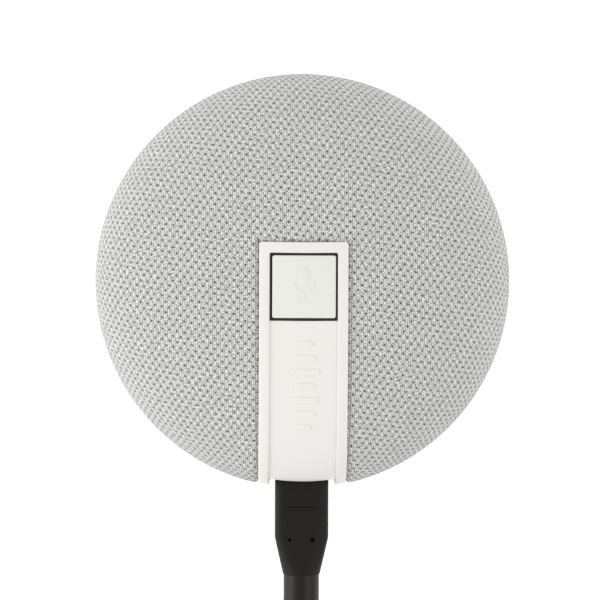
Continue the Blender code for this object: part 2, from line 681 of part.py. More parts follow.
def make_lead(paint, lead_axis):
    near = Matrix.Translation((0, PLUG_FACE_Y, PORT_Z))
    pieces = [
        finish_object("plug_overmold", plug_moulding(near), paint["pvc"]),
        finish_object("plug_shell", plug_shell(near), paint["steel"]),
        tube("lead_cable", LEAD_ROUTE, CORD_D / 2, paint["pvc"], 3),
    ]

    low, high, bevel = COIL_BOTTOM, COIL_TOP, 0.9
    r_in, r_out = COIL_R_IN, COIL_R_OUT
    outline = [(r_in, low + bevel), (r_in + bevel, low), (r_out - bevel, low), (r_out, low + bevel),
               (r_out, high - bevel), (r_out - bevel, high), (r_in + bevel, high), (r_in, high - bevel)]
    coil = finish_object("cable_coil", lathe(outline, SIDES, COIL_CENTRE), paint["pvc"])
    cutter = bmesh.new()
    route = [Vector(p) for p in (*LEAD_ROUTE[3:], (-18.4, -97.95, 3.75))]
    rings = []
    for i, place in enumerate(route):
        along = (route[min(i + 1, len(route) - 1)] - route[max(i - 1, 0)]).normalized()
        across = along.cross(Vector((0, 0, 1))).normalized()
        up = across.cross(along)
        rings.append([
            place + (across * math.cos(a) + up * math.sin(a)) * (CORD_D / 2 + 0.35) * 1.06
            for a in [math.tau * (k + 0.5) / 10 for k in range(10)]
        ])
    add_loft(cutter, rings)
    boolean(coil, "DIFFERENCE", helper("lead_channel", cutter))

    turn = Matrix.Translation((*COIL_CENTRE, 0)) @ Matrix.Rotation(TIE_ANGLE, 4, "Z")
    notch = boxes(((r_in - 2, r_out + 2), (-TIE_HALF_W - 0.5, TIE_HALF_W + 0.5), (-2, low + 1.1)))
    bmesh.ops.transform(notch, matrix=turn, verts=notch.verts)
    boolean(coil, "DIFFERENCE", helper("tie_notch", notch))
    pieces.append(coil)

    wall = TIE_WALL
    rows = []
    for y, inset in ((-TIE_HALF_W, 0.0), (TIE_HALF_W, 0.0), (TIE_HALF_W, wall), (-TIE_HALF_W, wall)):
        x0, x1 = r_in - 0.9 - wall + inset, r_out + 0.3 + wall - inset
        z0, z1 = low + inset, high + 1.4 + wall - inset
        rows.append([(x0, y, z0), (x1, y, z0), (x1, y, z1), (x0, y, z1)])
    tie = bmesh.new()
    rings = [[tie.verts.new(turn @ Vector(p)) for p in row] for row in rows]
    for one, other in zip(rings, rings[1:] + rings[:1]):
        for i in range(4):
            j = (i + 1) % 4
            tie.faces.new((one[i], one[j], other[j], other[i]))
    pieces.append(finish_object("coil_tie", tie, paint["inner"]))

    count = 12
    tail = [tail_point(TAIL_START + TAIL_TURN * i / count) for i in range(count + 1)]
    end = TAIL_START + TAIL_TURN
    along = Vector((-math.sin(end), math.cos(end), 0))
    tail.append(tail[-1] + along * TAIL_STRAIGHT)
    pieces.append(tube("cable_tail", tail, CORD_D / 2, paint["pvc"], 3))
    face = tail[-1] + along * (PLUG_FACE_Y - PLUG_END_Y + 0.3)
    far = Matrix.Translation(face) @ Matrix.Rotation(math.atan2(-along.x, along.y), 4, "Z")
    pieces.append(finish_object("far_plug_overmold", plug_moulding(far), paint["pvc"]))
    pieces.append(finish_object("far_plug_shell", plug_shell(far), paint["steel"]))
    for piece in pieces:
        carry(piece, lead_axis)


# ---------------------------------------------------------------- assembly

def axis_empty(name, place):
    """An empty on a joint's axis; the pieces that move together are its children."""
    empty = bpy.data.objects.new(name, None)
    empty.location = Vector(place) * MM
    bpy.context.scene.collection.objects.link(empty)
    return empty


def carry(obj, empty):
    obj.parent = empty
    obj.location = -empty.location


def main():
    for obj in list(bpy.data.objects):
        bpy.data.objects.remove(obj)
    paint = all_materials()
    button_axis = axis_empty("button_press_axis", (0, BUTTON_Y, BUTTON_TOP_Z))
    plunger_axis = axis_empty("plunger_axis", (0, BUTTON_Y, 27.25))
    cone_axis = axis_empty("cone_axis", (0, 0, 17.2))
    lead_axis = axis_empty("lead_axis", (0, PLUG_FACE_Y, PORT_Z))

    make_foot_pad(paint)
    make_base_housing(paint)
    make_ballast_plate(paint)
    make_screws("case_screw", CASE_POSTS, screw_outline(2.3, 1.15, 1.9, 3.4, 11.8), paint)
    make_chassis(paint)
    make_screws("grille_screw", GRILLE_POSTS, screw_outline(1.9, 0.75, 17.0, 18.2, 22.2), paint)
    make_main_board(paint)
    make_screws("board_screw", BOARD_POSTS, screw_outline(1.7, 0.65, 9.9, 8.8, 4.4), paint)
    make_receptacle(paint)
    make_port_frame(paint)
    make_driver(paint, cone_axis)
    make_mic_array(paint)
    make_button_group(paint, button_axis, plunger_axis)
    make_wiring(paint)
    make_grille_shell(paint)
    make_strap_trim(paint)
    make_fabric_cover(paint)
    make_lead(paint, lead_axis)


main()
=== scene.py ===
"""The look of a round fabric-covered smart speaker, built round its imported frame."""

import math

import bmesh
import bpy
from mathutils import Matrix, Vector


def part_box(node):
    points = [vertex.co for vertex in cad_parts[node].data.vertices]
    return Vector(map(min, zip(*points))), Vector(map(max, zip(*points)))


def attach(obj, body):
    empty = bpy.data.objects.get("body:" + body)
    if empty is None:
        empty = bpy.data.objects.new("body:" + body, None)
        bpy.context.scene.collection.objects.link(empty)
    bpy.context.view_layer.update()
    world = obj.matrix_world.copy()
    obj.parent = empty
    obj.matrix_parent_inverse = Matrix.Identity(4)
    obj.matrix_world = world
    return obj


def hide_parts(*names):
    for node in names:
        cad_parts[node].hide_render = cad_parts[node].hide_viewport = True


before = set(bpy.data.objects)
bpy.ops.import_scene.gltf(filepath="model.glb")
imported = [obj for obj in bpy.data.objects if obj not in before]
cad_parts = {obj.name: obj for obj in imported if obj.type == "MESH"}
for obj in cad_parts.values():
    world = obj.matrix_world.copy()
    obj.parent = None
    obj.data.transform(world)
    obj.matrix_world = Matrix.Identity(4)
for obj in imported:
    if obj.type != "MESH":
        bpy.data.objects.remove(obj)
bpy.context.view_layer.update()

bl_info = {
    "name": "Pebble Speaker",
    "version": (1, 0, 0),
    "blender": (4, 5, 0),
    "location": "View3D > Sidebar > Speaker",
    "description": "Builds a knit-covered desk speaker with its strap, button and lead",
    "category": "Add Mesh",
}

MM = 0.001
COVER_LOW, COVER_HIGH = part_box("fabric_cover")
STRAP_LOW, STRAP_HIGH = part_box("strap_trim")
BUTTON_LOW, BUTTON_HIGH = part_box("mute_button")
BASE_LOW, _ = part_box("base_housing")
_, FOOT_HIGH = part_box("foot_pad")

# The casing is a pebble: a superellipse turned about the vertical line through the origin.
PEBBLE_R = COVER_HIGH.x
EQUATOR_Z = 12.0 * MM
DOME_RISE = 17.4 * MM
UNDER_DROP = 16.0 * MM
ROUNDNESS = 2.3

# The strap's pieces are modelled flat, as (across, along, above the fabric), and then laid on the pebble.
STRAP_HALF = STRAP_HIGH.x
RAIL_INNER = 6.8 * MM
STRAP_TOP_Y = STRAP_HIGH.y
BUTTON_Y = (BUTTON_LOW.y + BUTTON_HIGH.y) / 2
OPENING_HALF = 6.85 * MM
OPENING_TOP_Y = BUTTON_Y + 6.68 * MM
PANEL_END_Z = 15.4 * MM
# Lines across the strap would bow towards the crown by this much times the distance squared. The correction is
# whole above the crown and fades out over a length below it.
CROWN_STRAIGHTEN = 2.4
CROWN_FADE = 12 * MM
PORT_Z = 10.5 * MM

# The lead, from just behind its plug's face to the coil's first point, in metres.
LEAD_ROUTE = [
    (0.0, -0.0609, 0.0105),
    (0.0, -0.0665, 0.0102),
    (-0.00055, -0.0728, 0.0093),
    (-0.0022, -0.0788, 0.0079),
    (-0.0048, -0.0845, 0.0064),
    (-0.0084, -0.0896, 0.0050),
    (-0.0129, -0.0941, 0.0041),
    (-0.0180, -0.0977, 0.00375),
]
LEAD_EXIT = (0.0, -0.0605, 0.0105)
COIL_CENTRE = Vector((4.8, -137.2)) * MM
COIL_START, COIL_STEP = 120.0, 7.5
# The coil's lanes in the order that the cord fills them: radius, height, degrees before it changes lane.
# Radii and heights from here to the plugs are in millimetres, and angles are in degrees.
COIL_LANES = [
    (45.6, 3.75, 315.0),
    (38.2, 3.75, 270.0),
    (30.8, 3.75, 270.0),
    (30.8, 11.15, 270.0),
    (38.2, 11.15, 270.0),
    (45.6, 11.15, 270.0),
    (38.2, 18.8, 213.0),
]
LANE_CHANGE, LAST_CHANGE = 45.0, 60.0
TAIL_STRAIGHT = 4.0 * MM
# The turns rise by TIE_LIFT over the tie. From ON_TOP up they lie on other turns and stay level.
TIE_ANGLE, TIE_SPREAD, TIE_LIFT = 190.0, 25.0, 1.05
ON_TOP = COIL_LANES[-1][1] - 4
# Each plug's face: the near one's place, and how far the far one is past the end of the cable.
PLUG_FACE_Y = -39.7 * MM
FAR_PLUG_REACH = 21.1

# A plug's overmoulding from its face back to the cable: distance, half width, half thickness, squareness.
PLUG_SECTIONS = [
    (0.0, 4.9, 2.9, 4.4),
    (0.06, 5.15, 3.15, 4.4),
    (0.22, 5.36, 3.36, 4.5),
    (0.5, 5.47, 3.47, 4.6),
    (1.0, 5.5, 3.5, 4.6),
    (4.0, 5.5, 3.5, 4.6),
    (8.0, 5.5, 3.5, 4.6),
    (12.5, 5.5, 3.5, 4.5),
    (13.1, 5.46, 3.5, 4.4),
    (13.6, 5.36, 3.52, 4.2),
    (15.3, 4.98, 3.57, 3.6),
    (17.2, 4.55, 3.62, 3.0),
    (19.0, 4.14, 3.66, 2.5),
    (20.2, 3.86, 3.68, 2.1),
    (20.55, 3.76, 3.68, 2.0),
    (20.75, 3.62, 3.6, 2.0),
]
# Half the moulding's thickness where its marks are, and the steel shell's half width and half thickness.
PLUG_HALF_T = 3.5
SHELL_HALF_W, SHELL_HALF_T = 4.1, 1.225


# ------------------------------------------------------------------ settings

class SpeakerSizes(bpy.types.PropertyGroup):
    """Sizes that a user would change."""

    wale_spacing: bpy.props.FloatProperty(
        name="Wale spacing", description="Distance between the knit's holes along a row",
        default=0.00155, min=0.0005, max=0.006, precision=5, unit="LENGTH")
    course_spacing: bpy.props.FloatProperty(
        name="Course spacing", description="Distance between the knit's holes up a column",
        default=0.00224, min=0.0005, max=0.006, precision=5, unit="LENGTH")
    row_slope: bpy.props.FloatProperty(
        name="Row slope", description="How far a row of holes falls for each unit to the right",
        default=0.168, min=-0.5, max=0.5)
    rail_rise: bpy.props.FloatProperty(
        name="Rail rise", description="How far the strap's rails stand above the fabric",
        default=0.0005, unit="LENGTH")
    panel_rise: bpy.props.FloatProperty(
        name="Panel rise", description="How far the strap's sunk panel stands above the fabric",
        default=0.00013, unit="LENGTH")
    emboss_rise: bpy.props.FloatProperty(
        name="Emboss rise", description="How far the panel's raised bars stand above it",
        default=0.00018, unit="LENGTH")
    cord_diameter: bpy.props.FloatProperty(
        name="Cord diameter", description="Diameter of the lead", default=0.0073, unit="LENGTH")
    cord_length: bpy.props.FloatProperty(
        name="Cord length", description="Length of the lead between its plugs", default=1.5, unit="LENGTH")


class SpeakerColours(bpy.types.PropertyGroup):
    """Colours that a user would change."""

    yarn: bpy.props.FloatVectorProperty(
        name="Yarn", description="Colour of the knit's raised loops",
        subtype="COLOR", default=(0.835, 0.826, 0.812))
    # yarn and yarn_shade are the lit and the shaded colour of one grey yarn, the two ends of the knit's painted
    # light and shade.
    yarn_shade: bpy.props.FloatVectorProperty(
        name="Yarn shade", description="Colour between the loops",
        subtype="COLOR", default=(0.27, 0.272, 0.27))
    # holes: painted shade, the dark of the shaded space behind the knit's holes, painted into the cover's
    # colour because the cover has no openings.
    holes: bpy.props.FloatVectorProperty(
        name="Holes", description="Colour seen through the knit",
        subtype="COLOR", default=(0.035, 0.035, 0.033))
    strap: bpy.props.FloatVectorProperty(
        name="Strap", description="White moulding",
        subtype="COLOR", default=(0.785, 0.777, 0.747))
    button: bpy.props.FloatVectorProperty(
        name="Button", description="Button moulding",
        subtype="COLOR", default=(0.75, 0.756, 0.715))
    base: bpy.props.FloatVectorProperty(
        name="Base", description="Lower housing",
        subtype="COLOR", default=(0.60, 0.60, 0.59))
    lead: bpy.props.FloatVectorProperty(
        name="Lead", description="Plug moulding and cable",
        subtype="COLOR", default=(0.0105, 0.009, 0.0075))


def sizes():
    """The scene's own sizes."""
    return bpy.context.scene.speaker_sizes


def colours():
    """The scene's own colours."""
    return bpy.context.scene.speaker_colours


# ------------------------------------------------------------------ the pebble's shape

def smooth_step(share):
    """Eases a share from 0 to 1, and holds it there outside that range."""
    share = min(max(share, 0.0), 1.0)
    return share * share * (3 - 2 * share)


def pebble_point(x, lean):
    """Where the plane at x meets the pebble at an angle from straight up, and the outward normal there."""
    sine, cosine = math.sin(lean), math.cos(lean)
    rise = DOME_RISE if cosine > 0 else UNDER_DROP
    low, high = 0.0, 0.06  # no point of the pebble is as far from its middle as 60 mm
    for _ in range(36):
        reach = (low + high) / 2
        across = math.hypot(x, reach * sine) / PEBBLE_R
        if across**ROUNDNESS + abs(reach * cosine / rise) ** ROUNDNESS < 1:
            low = reach
        else:
            high = reach
    y, up = -low * sine, low * cosine
    radius = max(math.hypot(x, y), 1e-9)
    slope = (radius / PEBBLE_R) ** (ROUNDNESS - 1) / PEBBLE_R
    climb = math.copysign(abs(up / rise) ** (ROUNDNESS - 1) / rise, up)
    normal = Vector((slope * x / radius, slope * y / radius, climb)).normalized()
    return Vector((x, y, EQUATOR_Z + up)), normal


def meridian_table(steps=360, lowest=115):
    """(lean, length of the meridian from the pole), down to just under the hem."""
    table, last, length = [(0.0, 0.0)], pebble_point(0.0, 0.0)[0], 0.0
    for i in range(1, steps + 1):
        lean = math.radians(lowest) * i / steps
        place = pebble_point(0.0, lean)[0]
        length += (place - last).length
        table.append((lean, length))
        last = place
    return table


MERIDIAN = meridian_table()


def read_table(value, column, other):
    """Finds a value in one column of the meridian table and gives the other column's value there."""
    for before, after in zip(MERIDIAN, MERIDIAN[1:]):
        if value <= after[column]:
            share = (value - before[column]) / (after[column] - before[column])
            return before[other] + share * (after[other] - before[other])
    return MERIDIAN[-1][other]


def lean_at(length):
    """The lean of the point that is a length along the meridian from the pole."""
    return math.copysign(read_table(abs(length), 1, 0), length)


def length_at(lean):
    """The length along the meridian from the pole to a lean."""
    return math.copysign(read_table(abs(lean), 0, 1), lean)


def length_to_height(z):
    """Length of the meridian from the pole down to a height."""
    for lean, length in MERIDIAN:
        if pebble_point(0.0, lean)[0].z <= z:
            return length
    return MERIDIAN[-1][1]


def pebble_radius(z):
    """The pebble's radius at a height."""
    rise = DOME_RISE if z > EQUATOR_Z else UNDER_DROP
    return PEBBLE_R * (1 - min(abs(z - EQUATOR_Z) / rise, 1.0) ** ROUNDNESS) ** (1 / ROUNDNESS)


def lay_on_pebble(obj, sink, start_z, end_z):
    """Bends a flat piece over the pebble, and sinks it into the casing between two heights.

    The piece's x stays, its y runs along the strap and its z is above the fabric.
    """
    start, end = length_to_height(start_z), length_to_height(end_z)
    for vertex in obj.data.vertices:
        across, along, above = vertex.co
        along += CROWN_STRAIGHTEN * across**2 * smooth_step(1 + along / CROWN_FADE)
        place, normal = pebble_point(across, lean_at(-along))
        share = smooth_step((-along - start) / (end - start))
        vertex.co = place + normal * (above - sink * share)


# ------------------------------------------------------------------ modelling helpers

def deselect():
    """Leaves edit mode, with nothing selected."""
    if bpy.context.object and bpy.context.object.mode != "OBJECT":
        bpy.ops.object.mode_set(mode="OBJECT")
    bpy.ops.object.select_all(action="DESELECT")


def take(obj):
    """Makes a piece the only selected one."""
    deselect()
    obj.select_set(True)
    bpy.context.view_layer.objects.active = obj


def settle(obj):
    """Moves a piece's place, turn and size into its mesh."""
    take(obj)
    bpy.ops.object.transform_apply(location=True, rotation=True, scale=True)


def block(name, low, high):
    """A cube between two corners."""
    deselect()
    middle = [(a + b) / 2 for a, b in zip(low, high)]
    bpy.ops.mesh.primitive_cube_add(size=1, location=middle, scale=[b - a for a, b in zip(low, high)])
    obj = bpy.context.object
    obj.name = name
    settle(obj)
    return obj


def drum(name, centre, radius, low, high, around=48):
    """An upright cylinder between two heights."""
    deselect()
    place = (centre[0], centre[1], (low + high) / 2)
    bpy.ops.mesh.primitive_cylinder_add(vertices=around, radius=radius, depth=high - low, location=place)
    obj = bpy.context.object
    obj.name = name
    settle(obj)
    return obj


def round_upright_edges(obj, radius, segments, keep=None):
    """Rounds a block's edges along Z, or those of them that keep() accepts."""
    take(obj)
    bpy.ops.object.mode_set(mode="EDIT")
    bpy.ops.mesh.select_mode(type="EDGE")
    bpy.ops.mesh.select_all(action="DESELECT")
    bm = bmesh.from_edit_mesh(obj.data)
    for edge in bm.edges:
        a, b = (v.co for v in edge.verts)
        upright = (a.xy - b.xy).length < 1e-7
        edge.select_set(upright and (keep is None or keep((a + b) / 2)))
    bmesh.update_edit_mesh(obj.data)
    bpy.ops.mesh.bevel(offset=radius, segments=segments, affect="EDGES")
    bpy.ops.object.mode_set(mode="OBJECT")


def apply_modifier(obj, kind, **values):
    """Adds a modifier with its settings and applies it."""
    take(obj)
    modifier = obj.modifiers.new(kind.lower(), kind)
    for name, value in values.items():
        setattr(modifier, name, value)
    bpy.ops.object.modifier_apply(modifier=modifier.name)


def close_slivers(obj):
    """Merges points closer than a micron, which two bevels leave where they meet."""
    take(obj)
    bpy.ops.object.mode_set(mode="EDIT")
    bpy.ops.mesh.select_all(action="SELECT")
    bpy.ops.mesh.remove_doubles(threshold=1e-6)
    bpy.ops.object.mode_set(mode="OBJECT")


def soften(obj, width, segments=3, angle=35.0):
    """Rounds every edge that is sharper than an angle."""
    apply_modifier(obj, "BEVEL", width=width, segments=segments, limit_method="ANGLE",
                   angle_limit=math.radians(angle), use_clamp_overlap=True)
    close_slivers(obj)


def cut(obj, cutter):
    """Takes the cutter's shape out of a piece, and removes the cutter."""
    apply_modifier(obj, "BOOLEAN", operation="DIFFERENCE", solver="EXACT", object=cutter)
    bpy.data.objects.remove(cutter)
    if not obj.data.polygons:
        raise RuntimeError(f"cutting {obj.name} left nothing of it")


def join(obj, others):
    """Joins other pieces to one, which keeps its name."""
    take(obj)
    for other in others:
        other.select_set(True)
    bpy.ops.object.join()
    return obj


def slice_across(obj, axis, places):
    """Cuts a piece through at a row of places, so that it can bend."""
    take(obj)
    bpy.ops.object.mode_set(mode="EDIT")
    normal = [0, 0, 0]
    normal[axis] = 1
    for place in places:
        point = [0, 0, 0]
        point[axis] = place
        bpy.ops.mesh.select_all(action="SELECT")
        bpy.ops.mesh.bisect(plane_co=point, plane_no=normal, threshold=1e-7)
    bpy.ops.object.mode_set(mode="OBJECT")


def spaced(low, high, step):
    """Even places between two ends, about a step apart."""
    count = max(1, round((high - low) / step))
    return [low + (high - low) * i / count for i in range(1, count)]


def grow(name, sections, around=96, ends="fill"):
    """Starts from a circle and extrudes it once for each further section. A section gives a point for an angle.

    The two open ends are filled, or bridged to each other, or left open.
    """
    deselect()
    bpy.ops.mesh.primitive_circle_add(vertices=around, radius=1.0)
    obj = bpy.context.object
    obj.name = name
    bpy.ops.object.mode_set(mode="EDIT")
    bpy.ops.mesh.select_mode(type="VERT")
    bm = bmesh.from_edit_mesh(obj.data)
    turn = bm.verts.layers.float.new("turn")
    for vertex in bm.verts:
        vertex[turn] = math.atan2(vertex.co.y, vertex.co.x)
    for number, section in enumerate(sections):
        if number:
            bpy.ops.mesh.extrude_region_move()
        bm = bmesh.from_edit_mesh(obj.data)
        turn = bm.verts.layers.float["turn"]
        for vertex in bm.verts:
            if vertex.select:
                vertex.co = section(vertex[turn])
        bmesh.update_edit_mesh(obj.data)
    if ends == "fill":
        bpy.ops.mesh.edge_face_add()
        bpy.ops.mesh.select_all(action="DESELECT")
        bpy.ops.mesh.select_non_manifold()
        bpy.ops.mesh.edge_face_add()
    if ends == "bridge":
        bpy.ops.mesh.select_all(action="DESELECT")
        bpy.ops.mesh.select_non_manifold()
        bpy.ops.mesh.bridge_edge_loops()
    bpy.ops.mesh.select_all(action="SELECT")
    bpy.ops.mesh.normals_make_consistent(inside=False)
    bpy.ops.object.mode_set(mode="OBJECT")
    obj.data.attributes.remove(obj.data.attributes["turn"])
    return obj


def ring_section(radius, z):
    """A level circle, as grow() takes it."""
    return lambda angle: Vector((radius * math.cos(angle), radius * math.sin(angle), z))


def turned(name, outline, ends="fill"):
    """A piece turned about the vertical axis. The outline is (radius, height) in millimetres."""
    return grow(name, [ring_section(r * MM, z * MM) for r, z in outline], around=144, ends=ends)


def soft_square(angle, half_w, half_h, power):
    """A point on a superellipse: power 2 is round, and a higher one is squarer."""
    cosine, sine = math.cos(angle), math.sin(angle)
    across = half_w * math.copysign(abs(cosine) ** (2 / power), cosine)
    up = half_h * math.copysign(abs(sine) ** (2 / power), sine)
    return across, up


def place_piece(obj, finish, body, replaces=(), smooth=32.0):
    """Gives a finished mesh its material and its place in the frame."""
    obj.data.materials.clear()
    obj.data.materials.append(finish)
    take(obj)
    bpy.ops.object.shade_smooth_by_angle(angle=math.radians(smooth))
    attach(obj, body)
    if replaces:
        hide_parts(*replaces)
    return obj


# ------------------------------------------------------------------ material helpers

def node(tree, kind, inputs=None, **settings):
    """Adds a shader node, and sets or links its inputs."""
    made = tree.nodes.new(kind)
    for name, value in settings.items():
        setattr(made, name, value)
    for key, value in (inputs or {}).items():
        if isinstance(value, bpy.types.NodeSocket):
            tree.links.new(value, made.inputs[key])
        else:
            made.inputs[key].default_value = value
    return made


def maths(tree, operation, *values):
    """The result of a Math node."""
    return node(tree, "ShaderNodeMath", dict(enumerate(values)), operation=operation).outputs[0]


def plus(tree, a, b):
    """The sum of two values."""
    return maths(tree, "ADD", a, b)


def times(tree, a, b):
    """The product of two values."""
    return maths(tree, "MULTIPLY", a, b)


def between(tree, value, low, high, to_low=0.0, to_high=1.0):
    """Maps a value smoothly from one range to another."""
    inputs = {0: value, 1: low, 2: high, 3: to_low, 4: to_high}
    return node(tree, "ShaderNodeMapRange", inputs, interpolation_type="SMOOTHSTEP").outputs[0]


def mixed(tree, share, a, b):
    """A colour between two others."""
    made = node(tree, "ShaderNodeMix", {0: share}, data_type="RGBA")
    for index, value in ((6, a), (7, b)):
        if isinstance(value, bpy.types.NodeSocket):
            tree.links.new(value, made.inputs[index])
        else:
            made.inputs[index].default_value = (*value[:3], 1.0)
    return made.outputs[2]


def noise(tree, vector, scale, detail=2.0, roughness=0.5):
    """Uneven values from 0 to 1."""
    inputs = {"Vector": vector, "Scale": scale, "Detail": detail, "Roughness": roughness}
    return node(tree, "ShaderNodeTexNoise", inputs).outputs[0]


def bumped(tree, height, strength, distance):
    """The surface's normal, bent by a height."""
    inputs = {"Height": height, "Strength": strength, "Distance": distance}
    return node(tree, "ShaderNodeBump", inputs).outputs[0]


def object_coordinates(tree):
    """Places in the piece's own frame."""
    return node(tree, "ShaderNodeTexCoord").outputs["Object"]


def new_group(name, inputs, outputs):
    """An empty shader group. inputs is (name, socket type, default) and outputs is (name, socket type)."""
    group = bpy.data.node_groups.new(name, "ShaderNodeTree")
    for label, kind, default in inputs:
        made = group.interface.new_socket(name=label, in_out="INPUT", socket_type=kind)
        if default is not None:
            made.default_value = default
    for label, kind in outputs:
        group.interface.new_socket(name=label, in_out="OUTPUT", socket_type=kind)
    return group, node(group, "NodeGroupInput"), node(group, "NodeGroupOutput")


def use_group(tree, group, inputs):
    """Puts a shader group into a tree, and sets or links its inputs."""
    made = tree.nodes.new("ShaderNodeGroup")
    made.node_tree = group
    for key, value in inputs.items():
        if isinstance(value, bpy.types.NodeSocket):
            tree.links.new(value, made.inputs[key])
        else:
            made.inputs[key].default_value = value
    return made


def new_finish(name):
    """A new material, its node tree and its shader."""
    made = bpy.data.materials.new(name)
    made.use_nodes = True
    return made, made.node_tree, made.node_tree.nodes["Principled BSDF"]


def feed(tree, shader, **values):
    """Sets or links the shader's inputs, by their names with _ for a space."""
    for name, value in values.items():
        wanted = shader.inputs[name.replace("_", " ")]
        if isinstance(value, bpy.types.NodeSocket):
            tree.links.new(value, wanted)
        elif wanted.type == "RGBA":
            wanted.default_value = (*value[:3], 1.0)
        else:
            wanted.default_value = value


# ------------------------------------------------------------------ shared surface effects

def make_moulded_grain():
    """Spark-eroded mould texture: fine grain, slow waves from cooling, and slightly smoother patches."""
    group, given, out = new_group(
        "Moulded Grain",
        [("Grain Size", "NodeSocketFloat", 0.12), ("Depth", "NodeSocketFloat", 0.3),
         ("Roughness", "NodeSocketFloat", 0.45), ("Spread", "NodeSocketFloat", 0.08)],
        [("Roughness", "NodeSocketFloat"), ("Shade", "NodeSocketFloat"), ("Normal", "NodeSocketVector")],
    )
    place = object_coordinates(group)
    scale = maths(group, "DIVIDE", 1000.0, given.outputs["Grain Size"])
    grain = noise(group, place, scale, 3.0, 0.6)
    waves = noise(group, place, 90.0, 2.0, 0.5)
    patches = noise(group, place, 34.0, 3.0, 0.55)
    uneven = times(group, maths(group, "SUBTRACT", patches, 0.5), given.outputs["Spread"])
    height = plus(group, grain, times(group, waves, 2.0))
    normal = bumped(group, height, given.outputs["Depth"], 0.00004)
    group.links.new(plus(group, given.outputs["Roughness"], uneven), out.inputs["Roughness"])
    group.links.new(between(group, patches, 0.25, 0.75, 0.97, 1.0), out.inputs["Shade"])
    group.links.new(normal, out.inputs["Normal"])
    return group


def make_knit_mesh():
    """A warp knit with a hole at each corner and centre of its repeat. Surface is in millimetres of cloth."""
    group, given, out = new_group(
        "Knit Mesh",
        [("Surface", "NodeSocketVector", None), ("Wale", "NodeSocketFloat", 1.55),
         ("Course", "NodeSocketFloat", 2.24), ("Slope", "NodeSocketFloat", 0.168)],
        [("Holes", "NodeSocketFloat"), ("Light", "NodeSocketFloat"), ("Height", "NodeSocketFloat")],
    )
    surface = given.outputs["Surface"]
    wobble = node(group, "ShaderNodeTexNoise", {"Vector": surface, "Scale": 0.8, "Detail": 1.0})
    drift = node(
        group, "ShaderNodeVectorMath", {0: wobble.outputs[1], 1: (0.5, 0.5, 0.5)}, operation="SUBTRACT")
    slide = node(group, "ShaderNodeVectorMath", {0: drift.outputs[0], "Scale": 0.10}, operation="SCALE")
    moved = node(group, "ShaderNodeVectorMath", {0: surface, 1: slide.outputs[0]}, operation="ADD")
    split = node(group, "ShaderNodeSeparateXYZ", {0: moved.outputs[0]})
    across, along = split.outputs[0], split.outputs[1]
    u = maths(group, "DIVIDE", across, given.outputs["Wale"])
    level = plus(group, along, times(group, across, given.outputs["Slope"]))
    v = maths(group, "DIVIDE", level, given.outputs["Course"])

    def off_centre(value):
        """How far a value is past the middle of its whole number."""
        return maths(group, "SUBTRACT", maths(group, "FRACT", value), 0.5)

    def spot(shift_u, shift_v, half_w, half_h, sharp, loose):
        """Elliptical spots on the repeat, 1 in the middle and 0 outside. Adding 100 keeps u and v above 0."""
        du = off_centre(plus(group, u, 100.5 + shift_u))
        dv = off_centre(plus(group, v, 100.5 + shift_v))
        wide = maths(group, "DIVIDE", times(group, du, given.outputs["Wale"]), half_w)
        tall = maths(group, "DIVIDE", times(group, dv, given.outputs["Course"]), half_h)
        square = plus(group, times(group, wide, wide), times(group, tall, tall))
        return between(group, maths(group, "SQRT", square), sharp, loose, 1.0, 0.0)

    def spots(shift_v, *shape):
        """Spots at the corners of the repeat and in its centre."""
        return maths(group, "MAXIMUM", spot(0.0, shift_v, *shape), spot(0.5, shift_v + 0.5, *shape))

    holes = spots(0.0, 0.26, 0.32, 0.55, 1.15)
    open_share = between(group, noise(group, surface, 0.55, 1.0), 0.35, 0.6, 0.74, 0.90)
    holes = times(group, holes, open_share)
    loops = spots(0.40, 0.24, 0.62, 0.2, 1.1)

    column = off_centre(plus(group, times(group, u, 2.0), 100.0))
    lean = times(group, maths(group, "ABSOLUTE", column), 2.0)
    phase = plus(group, times(group, v, 4.0), lean)
    stitch = maths(group, "COSINE", times(group, phase, math.tau))

    threads = node(group, "ShaderNodeMapping", {"Vector": moved.outputs[0], "Scale": (5.2, 2.6, 1.0)})
    filaments = noise(group, threads.outputs[0], 1.0, 0.0)

    arms = maths(group, "COSINE", times(group, column, 2 * math.tau))
    gap = maths(group, "COSINE", times(group, column, math.tau))

    # Light is painted light and shade on the yarn: darker arms and gaps between the loops, a painted highlight
    # on the loop below each hole, and random tone from the filaments.
    light = plus(group, times(group, arms, -0.48), 0.50)
    for part, weight in ((gap, -0.17), (stitch, 0.45), (loops, 0.34)):
        light = plus(group, light, times(group, part, weight))
    light = plus(group, light, between(group, filaments, 0.25, 0.75, -0.72, 0.72))
    height = plus(group, times(group, light, 0.6), times(group, holes, -1.0))
    group.links.new(holes, out.inputs["Holes"])
    group.links.new(maths(group, "MINIMUM", maths(group, "MAXIMUM", light, 0.0), 1.0), out.inputs["Light"])
    group.links.new(height, out.inputs["Height"])
    return group


def make_drawn_metal():
    """Plated sheet with fine drawing lines along one axis and a few dull patches."""
    group, given, out = new_group(
        "Drawn Metal",
        [("Lines", "NodeSocketVector", (4000.0, 300.0, 4000.0)), ("Roughness", "NodeSocketFloat", 0.3)],
        [("Roughness", "NodeSocketFloat"), ("Normal", "NodeSocketVector")],
    )
    place = object_coordinates(group)
    stretched = node(
        group, "ShaderNodeVectorMath", {0: place, 1: given.outputs["Lines"]}, operation="MULTIPLY")
    lines = noise(group, stretched.outputs[0], 1.0, 3.0, 0.6)
    patches = noise(group, place, 220.0, 3.0, 0.6)
    dull = times(group, maths(group, "SUBTRACT", patches, 0.5), 0.22)
    group.links.new(plus(group, given.outputs["Roughness"], dull), out.inputs["Roughness"])
    group.links.new(bumped(group, lines, 0.25, 0.00002), out.inputs["Normal"])
    return group


GROUPS = {}


